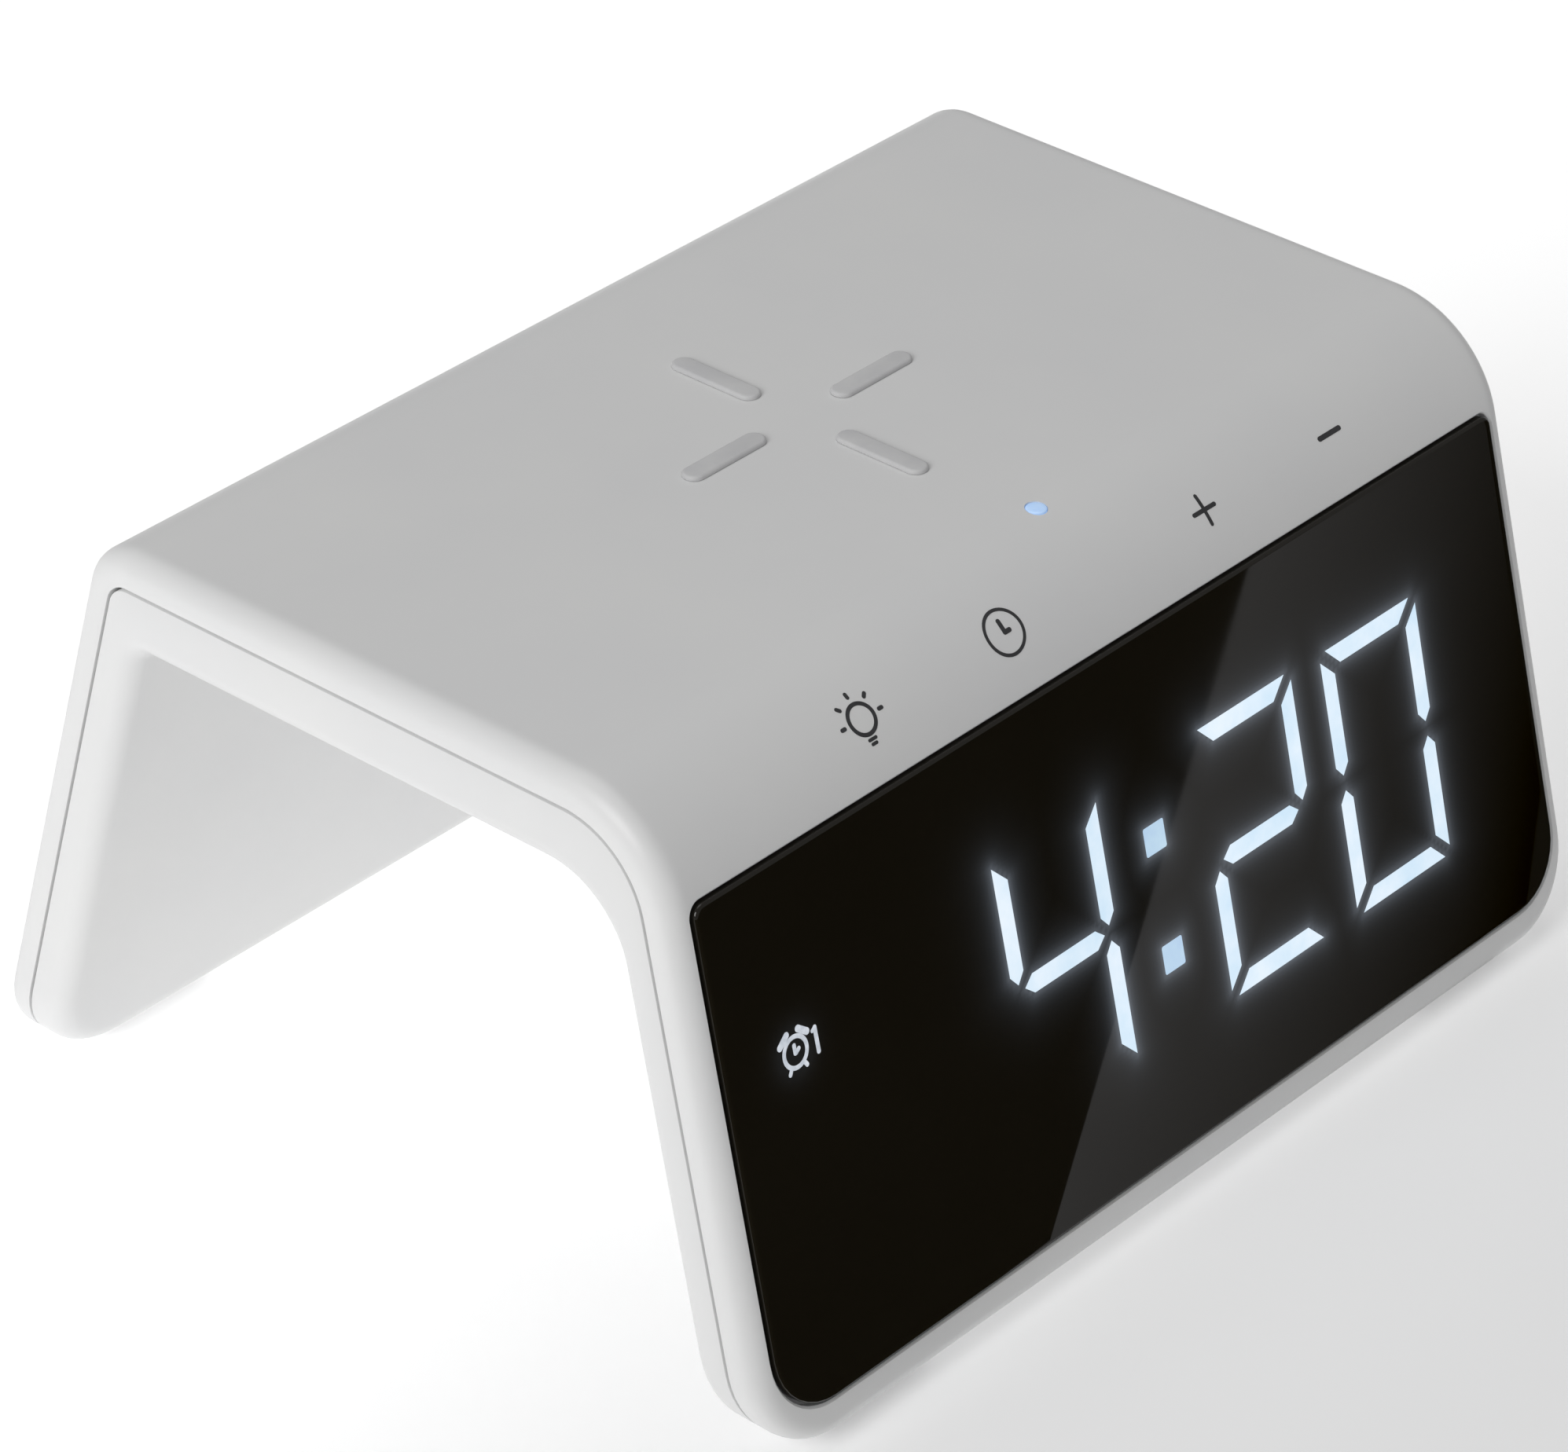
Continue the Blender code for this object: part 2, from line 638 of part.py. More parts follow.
def make_inner_shell():
    """Inner shell with the door opening, the board posts and the screw cups."""
    shell = casing_solid("inner_shell", "white")
    seam = SEAM_DEPTH + GAP / 2.0
    zone = prism_x("inner_zone", outer_arch(seam, -BEYOND), -2.0 * WIDTH, 2.0 * WIDTH)
    combine(shell, zone, "INTERSECT")
    bottom = GROUND_GAP + LEG_END_WALL
    space = outer_arch(SEAM_DEPTH - SEAM_OVERLAP, bottom)
    space += inner_arch(WALL, bottom)[::-1]
    cut(shell, hollow("inner_hollow", space, bottom))

    for x, y, label in case_screw_places():
        cup = disc("cup_" + label, CUP_RADIUS, (SHELF_FLOOR - 0.5, SHELF_FLOOR + CUP_TOP),
                   at(x, y))
        fuse(shell, cup)
        recess = disc("recess_" + label, RECESS_RADIUS,
                      (SHELF_UNDERSIDE - 2.0, SHELF_FLOOR + RECESS_TOP), at(x, y))
        cut(shell, recess)
        bore = disc("cup_bore_" + label, POST_BORE_RADIUS,
                    (SHELF_UNDERSIDE, SHELF_FLOOR + 3.0), at(x, y), steps=16)
        cut(shell, bore)
    for x, y, label in board_screw_places():
        post = disc("rest_" + label, REST_RADIUS,
                    (SHELF_FLOOR - 0.5, MAIN_BOARD_LEVEL - GAP), at(x, y), steps=16)
        fuse(shell, post)
        bore = disc("rest_bore_" + label, REST_BORE_RADIUS,
                    (SHELF_UNDERSIDE + 0.6, SHELF_FLOOR + 3.0), at(x, y), steps=16)
        cut(shell, bore)

    half = DOOR_HALF_WIDTH + GAP
    wide = WIDTH / 2.0 + 5.0
    box = (DOOR_START_X - GAP, wide, CELL_Y - half, CELL_Y + half)
    cut(shell, block("door_opening", box, (SHELF_UNDERSIDE - 2.0, SHELF_FLOOR + 0.4)))
    half += DOOR_FLANGE
    box = (DOOR_START_X - GAP, wide, CELL_Y - half, CELL_Y + half)
    cut(shell, block("flange_way", box, (SHELF_FLOOR, DOOR_TOP + GAP)))
    box = (DOOR_LIP_X - GAP, wide, CELL_Y - half, CELL_Y + half)
    cut(shell, block("lip_way", box, (SHELF_UNDERSIDE - 2.0, DOOR_TOP + GAP)))
    cut_foot_pockets(shell)
    return shell


def foot_places():
    """Middle of each foot on the leg bottoms, with its name."""
    places = []
    for corner, normal, label in ((FRONT_CORNER, FRONT_NORMAL, "front"),
                                  (BACK_CORNER, BACK_NORMAL, "back")):
        outer = y_on_leg(corner, normal, 0.0, GROUND_GAP)
        inner = y_on_leg(corner, normal, LEG_THICKNESS, GROUND_GAP)
        middle = (outer + inner) / 2.0
        places.append((-FOOT_X, middle, "foot_%s_left" % label))
        places.append((FOOT_X, middle, "foot_%s_right" % label))
    return places


def foot_outline(x, y, grow=0.0):
    """Rectangle of one foot, with an optional gap round it."""
    long_half = FOOT_LENGTH / 2.0 + grow
    short_half = FOOT_WIDTH / 2.0 + grow
    return (x - long_half, x + long_half, y - short_half, y + short_half)


def cut_foot_pockets(shell):
    """Shallow pockets that hold the feet."""
    for x, y, label in foot_places():
        levels = (-2.0, GROUND_GAP + FOOT_INSET + GAP)
        pocket = block("%s_pocket_%s" % (shell.name, label), foot_outline(x, y, GAP), levels)
        cut(shell, pocket)


def make_feet():
    """Four soft feet, each a long pad with rounded ends."""
    for x, y, label in foot_places():
        radius = FOOT_WIDTH / 2.0 * 0.9
        plate(label, foot_outline(x, y), (radius,) * 4, (0.0, GROUND_GAP + FOOT_INSET),
              finish="rubber")


# ---------------------------------------------------------------------------
# Display in the front leg
# ---------------------------------------------------------------------------

def make_display():
    """Front glass, diffuser, reflector with its digit wells, and the display board."""
    half = GLASS_WIDTH / 2.0
    tall = GLASS_HALF_HEIGHT
    radii = (GLASS_BOTTOM_RADIUS, GLASS_BOTTOM_RADIUS, GLASS_TOP_RADIUS, GLASS_TOP_RADIUS)
    levels = (GLASS_PROUD - GLASS_THICKNESS, GLASS_PROUD)
    plate("display_glass", (-half, half, -tall, tall), radii, levels, GLASS_FRAME,
          "black_glass", GLASS_CHAMFER, SIDE_DRAFT)

    half -= GLASS_LEDGE + GAP
    tall -= GLASS_LEDGE + GAP
    low = GLASS_BOTTOM_RADIUS - GLASS_LEDGE - GAP
    plate("display_diffuser", (-half, half, -tall, tall),
          (low, low, DIFFUSER_TOP_RADIUS, DIFFUSER_TOP_RADIUS),
          (GLASS_SEAT - DIFFUSER_THICKNESS, GLASS_SEAT), GLASS_FRAME, "black", draft=SIDE_DRAFT)

    half = MODULE_HALF_WIDTH
    tall = MODULE_HALF_HEIGHT
    reflector = block("led_reflector", (-half, half, -tall, tall),
                      (-REFLECTOR_DEPTH - REFLECTOR_THICKNESS, -REFLECTOR_DEPTH), GLASS_FRAME,
                      "pale")
    for index, centre in enumerate(DIGIT_CENTRES):
        box = (centre - DIGIT_WELL_HALF_WIDTH, centre + DIGIT_WELL_HALF_WIDTH,
               -DIGIT_WELL_HALF_HEIGHT, DIGIT_WELL_HALF_HEIGHT)
        well = block("digit_well_%d" % (index + 1), box,
                     (-REFLECTOR_DEPTH - DIGIT_WELL_DEPTH, 0.0), GLASS_FRAME)
        cut(reflector, well)

    half = MODULE_HALF_WIDTH + DISPLAY_BOARD_MARGIN
    tall = MODULE_HALF_HEIGHT + DISPLAY_BOARD_MARGIN
    board = block("display_board", (-half, half, -tall, tall),
                  (-DISPLAY_BOARD_DEPTH - DISPLAY_BOARD_THICKNESS, -DISPLAY_BOARD_DEPTH),
                  GLASS_FRAME, "board")
    for index, side in enumerate((-1.0, 1.0)):
        notch = disc("display_board_notch_%d" % (index + 1), BOARD_NOTCH_RADIUS,
                     (-2.0 * DISPLAY_BOARD_DEPTH, 0.0), GLASS_FRAME @ at(side * half, 0.0),
                     steps=12)
        cut(board, notch)


def make_ribbon():
    """Flat cable that climbs from the display board round the bend to the main board."""
    climb = MODULE_HALF_HEIGHT + DISPLAY_BOARD_MARGIN + GAP
    bottom = (GLASS_FRAME @ Vector((0.0, climb, -RIBBON_DEPTH))).z
    faces = []
    for depth in (RIBBON_DEPTH, RIBBON_DEPTH + RIBBON_THICKNESS):
        shelf_depth = depth + 0.1
        bends = (RIBBON_BENDS[0] + RIBBON_DEPTH - depth, RIBBON_BENDS[1])
        path = arch(depth, shelf_depth, bends, bottom, steps=(8, 3))
        face = [point for point in path if point.x < RIBBON_END_Y]
        faces.append(face + [Vector((RIBBON_END_Y, HEIGHT - shelf_depth))])
    upper, lower = faces
    prism_x("display_ribbon", upper + lower[::-1], RIBBON_LEFT_X, RIBBON_RIGHT_X, "film")


# ---------------------------------------------------------------------------
# Charging shelf
# ---------------------------------------------------------------------------

def make_charger():
    """Coil, its magnetic backing, the tray that holds them, and the charger board."""
    centre = at(0.0, 0.0)
    ring("charging_coil", (COIL_INNER_RADIUS, COIL_OUTER_RADIUS),
         (COIL_LEVEL, COIL_LEVEL + COIL_THICKNESS), centre, "copper", steps=32)
    top = COIL_LEVEL - COIL_GAP
    disc("ferrite_disc", COIL_OUTER_RADIUS + FERRITE_MARGIN, (top - FERRITE_THICKNESS, top),
         centre, "ferrite", steps=32)
    top -= FERRITE_THICKNESS + COIL_GAP
    side = COIL_OUTER_RADIUS + TRAY_MARGIN
    tray = plate("coil_tray", (-side, side, -side, side), (TRAY_CORNER,) * 4,
                 (top - TRAY_THICKNESS, top), finish="pale")
    rim = ring("tray_rim", (side - TRAY_RIM, side), (top - 0.4, COIL_LEVEL + 0.6), centre,
               steps=32)
    fuse(tray, rim)
    disc("coil_sensor", SENSOR_RADIUS, (COIL_LEVEL, COIL_LEVEL + SENSOR_THICKNESS),
         at(SENSOR_X, 0.0), "black", steps=12)

    board = block("charger_board", CHARGER_BOARD_BOX,
                  (CHARGER_BOARD_LEVEL, CHARGER_BOARD_LEVEL + BOARD_THICKNESS), finish="board")
    for index, (x, y, long_half, short_half, tall) in enumerate(CHARGER_CHIPS):
        box = (x - long_half, x + long_half, y - short_half, y + short_half)
        chip = block("charger_chip_%d" % (index + 1), box,
                     (CHARGER_BOARD_LEVEL - tall, CHARGER_BOARD_LEVEL + CHIP_SEAT))
        fuse(board, chip)


def inlet_frame():
    """Frame on the mouth of the power inlet: local Z points out at the back."""
    across = Vector((-1.0, 0.0, 0.0))
    out = Vector((0.0, 1.0, 0.0))
    frame = Matrix((across, out.cross(across), out)).transposed().to_4x4()
    return at(INLET_X, INLET_MOUTH_Y, INLET_LEVEL) @ frame


def inlet_box(grow):
    """Rectangle of the power inlet, grown by a gap or shrunk by a wall."""
    wide = INLET_HALF_WIDTH + grow
    tall = INLET_HALF_HEIGHT + grow
    return (-wide, wide, -tall, tall)


def inlet_radius(grow):
    """Corner radius that keeps the inlet's ends round."""
    return (INLET_HALF_HEIGHT + grow) * INLET_ROUNDNESS


def make_inlet():
    """Power inlet: a metal sleeve with a contact tongue."""
    frame = inlet_frame()
    sleeve = plate("power_inlet", inlet_box(0.0), (inlet_radius(0.0),) * 4,
                   (-INLET_LENGTH, 0.0), frame, "tin")
    bore = plate("inlet_bore", inlet_box(-INLET_WALL), (inlet_radius(-INLET_WALL),) * 4,
                 (-INLET_LENGTH + 1.0, 1.0), frame)
    cut(sleeve, bore)
    block("inlet_tongue", (-TONGUE_HALF_WIDTH, TONGUE_HALF_WIDTH,
                           -TONGUE_HALF_THICKNESS, TONGUE_HALF_THICKNESS),
          (-INLET_LENGTH + 1.0 + GAP, -TONGUE_SETBACK), frame, "black")


def make_main_board():
    """Main board with its processor, the tuner in its screening can, and two screws."""
    top = MAIN_BOARD_LEVEL + BOARD_THICKNESS
    board = block("main_board", MAIN_BOARD_BOX, (MAIN_BOARD_LEVEL, top), finish="board")
    for index, (x, y, long_half, short_half, tall) in enumerate(MAIN_CHIPS):
        box = (x - long_half, x + long_half, y - short_half, y + short_half)
        chip = block("main_chip_%d" % (index + 1), box, (top - CHIP_SEAT, top + tall))
        fuse(board, chip)
    corner = block("main_board_corner", MAIN_BOARD_CORNER, BOARD_CUT_LEVELS)
    cut(board, corner)
    for x, y, label in board_screw_places():
        hole = disc("board_hole_" + label, BOARD_HOLE_RADIUS, BOARD_CUT_LEVELS, at(x, y),
                    steps=16)
        cut(board, hole)
        make_screw(label, x, y, top + GAP, -1.0, BOARD_SCREW_SIZE)
    block("tuner_can", TUNER_BOX, (top + GAP, top + GAP + TUNER_HEIGHT), finish="tin")


def board_screw_places():
    """The two screws of the main board."""
    return [(BOARD_SCREW_X, y, "board_screw_%d" % (index + 1))
            for index, y in enumerate(BOARD_SCREW_YS)]


def case_screw_places():
    """The four screws that close the casing from below the shelf."""
    places = []
    for y, side_y in zip(CASE_SCREW_YS, ("front", "back")):
        for sign, side_x in ((-1.0, "left"), (1.0, "right")):
            places.append((sign * CASE_SCREW_X, y, "case_screw_%s_%s" % (side_y, side_x)))
    return places


def make_screw(name, x, y, seat, direction, sizes):
    """Pan head screw: the head sits above the seat and the shank runs along direction.

    sizes are the head's radius and height, and the shank's radius and length. The frame's Z
    axis points from the shank to the head.
    """
    head_radius, head_height, shank_radius, length = sizes
    if direction < 0.0:
        frame = at(x, y, seat)
    else:
        frame = at(x, y, seat) @ Matrix.Rotation(math.pi, 4, "X")
    rim = head_height * 0.35
    profile = (
        (0.0, -length),
        (shank_radius * 0.4, -length),
        (shank_radius, -length + shank_radius * 1.4),
        (shank_radius, 0.0),
        (head_radius, 0.0),
        (head_radius, head_height - rim),
        (head_radius - rim, head_height),
        (0.0, head_height),
    )
    screw = turned(name, profile, frame, "steel", steps=12)
    slot = head_radius * 0.62
    thin = head_radius * 0.16
    floor = head_height * 0.45
    for index, box in enumerate(((-slot, slot, -thin, thin), (-thin, thin, -slot, slot))):
        cut(screw, block("%s_cross_%d" % (name, index + 1), box, (floor, head_height + 1.0),
                         frame))


def make_case_screws():
    """Screws that hold the inner shell to the posts of the outer one."""
    for x, y, label in case_screw_places():
        make_screw(label, x, y, SHELF_FLOOR - CASE_SCREW_SINK, 1.0, CASE_SCREW_SIZE)


# ---------------------------------------------------------------------------
# Backup cell and its sliding door
# ---------------------------------------------------------------------------

def make_battery():
    """Backup coin cell in its holder, with its two contacts."""
    frame = at(CELL_X, CELL_Y)
    top = CELL_LEVEL + CELL_THICKNESS
    profile = (
        (0.0, CELL_LEVEL),
        (CELL_RADIUS - CELL_RIM, CELL_LEVEL),
        (CELL_RADIUS - CELL_RIM + 2.0 * CELL_EDGE, CELL_LEVEL + CELL_STEP),
        (CELL_RADIUS, CELL_LEVEL + CELL_STEP),
        (CELL_RADIUS, top - CELL_EDGE),
        (CELL_RADIUS - CELL_EDGE, top),
        (0.0, top),
    )
    turned("coin_cell", profile, frame, "steel", steps=28)

    ceiling = top + 2.0 * CONTACT_GAP + CONTACT_THICKNESS
    inner = CELL_RADIUS + HOLDER_PLAY
    profile = (
        (inner, CELL_LEVEL),
        (inner + HOLDER_WALL, CELL_LEVEL),
        (inner + HOLDER_WALL, ceiling + HOLDER_ROOF),
        (0.0, ceiling + HOLDER_ROOF),
        (0.0, ceiling),
        (inner, ceiling),
    )
    holder = turned("battery_holder", profile, frame, "black", steps=28)
    slot = block("holder_slot", (-2.5, 2.5, CELL_RADIUS - 2.0, CELL_RADIUS + 5.0),
                 (CELL_LEVEL - 1.0, ceiling - 0.3), frame)
    cut(holder, slot)
    low = top + CONTACT_GAP
    plate("contact_negative", (-6.0, 6.0, -2.0, 2.0), (1.5,) * 4,
          (low, low + CONTACT_THICKNESS), frame, "tin")
    block("contact_positive", (-1.8, 1.8, CELL_RADIUS + 0.3, CELL_RADIUS + 0.6),
          (CELL_LEVEL + 0.4, top), frame, "tin")


def make_battery_door():
    """Door under the shelf, flush with the casing, that slides out past its right end.

    Its upper flanges run on the inside of the casing wall, and its outer end fills the notch
    in the end wall. Its grip is a row of shallow grooves on the underside.
    """
    door = casing_solid("battery_door", "white")
    half = DOOR_HALF_WIDTH
    wide = WIDTH / 2.0 + 5.0
    low = SHELF_UNDERSIDE - 3.0
    box = (DOOR_START_X, wide, CELL_Y - half, CELL_Y + half)
    body = block("door_body", box, (low, SHELF_UNDERSIDE + DOOR_PLATE))
    flange = half + DOOR_FLANGE
    box = (DOOR_START_X, wide, CELL_Y - flange, CELL_Y + flange)
    fuse(body, block("door_flange", box, (SHELF_FLOOR + GAP, DOOR_TOP)))
    box = (DOOR_START_X, wide, CELL_Y - half, CELL_Y + half)
    fuse(body, block("door_web", box, (SHELF_UNDERSIDE + DOOR_PLATE - 0.3, DOOR_TOP - 0.1)))
    box = (DOOR_LIP_X, wide - 1.0, CELL_Y - flange, CELL_Y + flange)
    fuse(body, block("door_lip", box, (low + 1.0, DOOR_TOP)))
    combine(door, body, "INTERSECT")
    for index in range(DOOR_GROOVES):
        x = DOOR_GROOVE_X + index * DOOR_GROOVE_PITCH
        box = (x, x + DOOR_GROOVE_WIDTH,
               CELL_Y - DOOR_GROOVE_HALF_LENGTH, CELL_Y + DOOR_GROOVE_HALF_LENGTH)
        groove = block("door_groove_%d" % (index + 1), box,
                       (low, SHELF_UNDERSIDE + DOOR_GROOVE_DEPTH))
        cut(door, groove)
    return door


# ---------------------------------------------------------------------------
# Loudspeaker, aerial and wiring in the back leg
# ---------------------------------------------------------------------------

def make_speaker():
    """Flat loudspeaker: gasket, cone, basket and magnet, all facing out at the back."""
    frame = SPEAKER_FRAME
    seat = SPEAKER_RADIUS - SPEAKER_RIM
    ring("speaker_gasket", (seat, SPEAKER_RADIUS), (-2.3, -1.8), frame, "rubber")
    profile = ((0.0, -3.6), (5.0, -3.6), (11.8, -2.8), (11.8, -2.5), (5.2, -3.3), (0.0, -3.3))
    turned("speaker_cone", profile, frame, "paper")
    profile = (
        (seat, -2.5),
        (seat, -4.0),
        (7.2, -4.6),
        (7.2, -5.4),
        (12.6, -5.0),
        (SPEAKER_RADIUS, -4.2),
        (SPEAKER_RADIUS, -2.5),
    )
    turned("speaker_basket", profile, frame, "steel")
    disc("speaker_magnet", MAGNET_RADIUS, MAGNET_LEVELS, frame, "ferrite", steps=20)


def make_aerial():
    """Foil strip aerial against the inner wall of the back leg."""
    plate("aerial_strip", AERIAL_BOX, (1.0,) * 4, AERIAL_LEVELS, SPEAKER_FRAME, "copper")


def make_speaker_leads():
    """Two wires from the main board over the back bend and down to the loudspeaker."""
    board_top = MAIN_BOARD_LEVEL + BOARD_THICKNESS
    for index, (name, finish) in enumerate((("speaker_lead_red", "red"),
                                            ("speaker_lead_black", "paper"))):
        shift = index * LEAD_PITCH
        start = [Vector((x + shift, y, board_top + raised)) for x, y, raised in LEAD_START]
        bends = [(x - shift, y) for x, y in LEAD_DROP[:3]]
        bends[2] = (bends[2][0], bends[2][1] + shift)
        bends.append((LEAD_DROP[3][0], LEAD_DROP[3][1] + shift))
        down = [SPEAKER_FRAME @ Vector((x, y, -LEAD_DEPTH)) for x, y in bends]
        tube(name, start + down, LEAD_RADIUS, finish)


# ---------------------------------------------------------------------------
# Touch keys, indicator and grips
# ---------------------------------------------------------------------------

def bend_frame(x, radius):
    """Frame under the front bend: local Z points out of the bend at the keys' angle."""
    front_top = Vector((y_on_leg(FRONT_CORNER, FRONT_NORMAL, FRONT_BEND, HEIGHT - FRONT_BEND),
                        HEIGHT - FRONT_BEND))
    out = Vector((0.0, -math.cos(TOUCH_ANGLE), math.sin(TOUCH_ANGLE)))
    across = Vector((1.0, 0.0, 0.0))
    frame = Matrix((across, out.cross(across), out)).transposed().to_4x4()
    return at(x, front_top.x, front_top.y) @ frame @ at(0.0, 0.0, radius)


def make_touch_keys():
    """Sensing pads under the printed signs, and the flexible board that joins them."""
    inside = FRONT_BEND - WALL
    for label, x in TOUCH_KEYS:
        box = (-TOUCH_HALF_LENGTH, TOUCH_HALF_LENGTH, -TOUCH_HALF_WIDTH, TOUCH_HALF_WIDTH)
        plate("touch_pad_" + label, box, (1.5,) * 4, (-TOUCH_THICKNESS, 0.0),
              bend_frame(x, inside - TOUCH_DEPTH), "copper")
    plate("touch_flex", FLEX_BOX, (1.0,) * 4, (-FLEX_THICKNESS, 0.0),
          bend_frame(0.0, inside - FLEX_DEPTH), "film")


def make_indicator():
    """Charging light: a clear pin in the shelf and the lamp below it."""
    frame = at(INDICATOR_X, INDICATOR_Y)
    low = SHELF_CEILING - INDICATOR_DEPTH
    disc("indicator_lens", INDICATOR_RADIUS, (low, HEIGHT), frame, "clear", steps=16)
    box = (-LAMP_HALF_LENGTH, LAMP_HALF_LENGTH, -LAMP_HALF_WIDTH, LAMP_HALF_WIDTH)
    block("indicator_lamp", box, (low - GAP - LAMP_THICKNESS, low - GAP), frame, "pale")


def make_grips():
    """Four soft strips that keep a telephone from sliding on the shelf."""
    short = GRIP_WIDTH / 2.0
    near = GRIP_OFFSET - GRIP_LENGTH / 2.0
    away = GRIP_OFFSET + GRIP_LENGTH / 2.0
    boxes = {
        "right": (near, away, -short, short),
        "left": (-away, -near, -short, short),
        "back": (-short, short, near, away),
        "front": (-short, short, -away, -near),
    }
    for label, box in boxes.items():
        plate("grip_strip_" + label, box, (short * 0.95,) * 4,
              (HEIGHT + GRIP_SEAT, HEIGHT + GRIP_SEAT + GRIP_HEIGHT), finish="silicone",
              chamfer=GRIP_CHAMFER)


def main():
    """Build every part."""
    for thing in list(bpy.data.objects):
        bpy.data.objects.remove(thing, do_unlink=True)
    make_outer_shell()
    make_inner_shell()
    make_feet()
    make_display()
    make_ribbon()
    make_charger()
    make_inlet()
    make_main_board()
    make_case_screws()
    make_battery()
    make_battery_door()
    make_speaker()
    make_aerial()
    make_speaker_leads()
    make_touch_keys()
    make_indicator()
    make_grips()


main()
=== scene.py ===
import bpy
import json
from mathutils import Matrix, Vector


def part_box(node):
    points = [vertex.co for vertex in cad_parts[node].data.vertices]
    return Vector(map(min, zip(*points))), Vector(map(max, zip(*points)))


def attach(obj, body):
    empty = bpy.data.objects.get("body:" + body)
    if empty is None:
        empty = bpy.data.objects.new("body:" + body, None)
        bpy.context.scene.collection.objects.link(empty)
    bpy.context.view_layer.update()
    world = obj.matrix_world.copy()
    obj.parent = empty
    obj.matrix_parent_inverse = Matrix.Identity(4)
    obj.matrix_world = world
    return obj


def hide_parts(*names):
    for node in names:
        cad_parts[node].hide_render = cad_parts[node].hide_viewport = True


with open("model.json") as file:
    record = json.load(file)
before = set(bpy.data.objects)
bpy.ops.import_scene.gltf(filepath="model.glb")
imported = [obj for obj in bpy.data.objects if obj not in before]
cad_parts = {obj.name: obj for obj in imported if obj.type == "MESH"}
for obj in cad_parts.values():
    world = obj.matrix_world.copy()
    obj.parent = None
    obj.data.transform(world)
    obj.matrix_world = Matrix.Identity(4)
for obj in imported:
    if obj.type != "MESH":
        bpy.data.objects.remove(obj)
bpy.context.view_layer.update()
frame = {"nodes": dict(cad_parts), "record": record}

"""Looks of a bedside clock radio with a charging shelf.

The casing is one white bridge on two leaning legs. Its two shells, the battery door, the
display window, the feet and the grip strips are rebuilt here as fine surfaces, and every
other node of the frame keeps its shape and gets its finish. Sizes are in millimetres and
become metres where a mesh is made. X runs along the display, which faces -Y.
"""

import json
import logging
import math
from collections.abc import Callable
from dataclasses import dataclass
from enum import Enum

import bmesh
import bpy
import numpy as np
from mathutils import Matrix, Vector

LOG = logging.getLogger("clock_radio")
MM = 0.001
MERGE_DISTANCE = 0.0000005
ROUND_END = 0.98
SIGN_SINK = 0.02
SIGN_RISE = 0.012
Array = np.ndarray
Colour = tuple[float, float, float]
Pair = tuple[float, float]


# ---------------------------------------------------------------------------
# Shader graph and the groups that the finishes share
# ---------------------------------------------------------------------------

@dataclass
class Graph:
    """A node tree under construction, with short ways to add and join nodes."""

    tree: bpy.types.NodeTree

    def add(self, kind: str, **settings: object) -> bpy.types.Node:
        """Add a node and give its settings and socket values.

        Args:
            kind: the node's type name.
            settings: a property of the node, or in_NAME for an input socket's value, with
                spaces as underscores.

        Returns:
            The new node.
        """
        node = self.tree.nodes.new(kind)
        for name, value in settings.items():
            if name.startswith("in_"):
                node.inputs[name[3:].replace("_", " ")].default_value = value
            else:
                setattr(node, name, value)
        return node

    def join(self, output: bpy.types.NodeSocket, target: bpy.types.NodeSocket) -> None:
        """Link an output socket to an input socket."""
        self.tree.links.new(output, target)


def new_group(name: str, inputs: dict[str, object], outputs: dict[str, str]
              ) -> tuple[Graph, bpy.types.Node, bpy.types.Node]:
    """Start a shader group with named sockets.

    Args:
        name: the group's name.
        inputs: each input's default; a colour is a 4-tuple and a number a float.
        outputs: each output's socket type.

    Returns:
        The group's graph, its input node and its output node.
    """
    tree = bpy.data.node_groups.new(name, "ShaderNodeTree")
    for label, value in inputs.items():
        kind = "NodeSocketColor" if isinstance(value, tuple) else "NodeSocketFloat"
        socket = tree.interface.new_socket(name=label, in_out="INPUT", socket_type=kind)
        socket.default_value = value
    for label, kind in outputs.items():
        tree.interface.new_socket(name=label, in_out="OUTPUT", socket_type=kind)
    graph = Graph(tree)
    return graph, graph.add("NodeGroupInput"), graph.add("NodeGroupOutput")


def build_mottle_group() -> bpy.types.NodeTree:
    """Group that drifts softly between two colours over the surface.

    Returns:
        The group's tree.
    """
    graph, given, result = new_group(
        "mottle",
        {"First": (0.8, 0.8, 0.8, 1.0), "Second": (0.7, 0.7, 0.7, 1.0), "Scale": 60.0},
        {"Color": "NodeSocketColor"})
    place = graph.add("ShaderNodeTexCoord")
    noise = graph.add("ShaderNodeTexNoise", in_Detail=4.0, in_Roughness=0.6)
    spread = graph.add("ShaderNodeMapRange", in_From_Min=0.3, in_From_Max=0.7)
    mix = graph.add("ShaderNodeMix", data_type="RGBA")
    graph.join(place.outputs["Object"], noise.inputs["Vector"])
    graph.join(given.outputs["Scale"], noise.inputs["Scale"])
    graph.join(noise.outputs["Fac"], spread.inputs["Value"])
    graph.join(spread.outputs["Result"], mix.inputs["Factor"])
    graph.join(given.outputs["First"], mix.inputs[6])
    graph.join(given.outputs["Second"], mix.inputs[7])
    graph.join(mix.outputs[2], result.inputs["Color"])
    return graph.tree


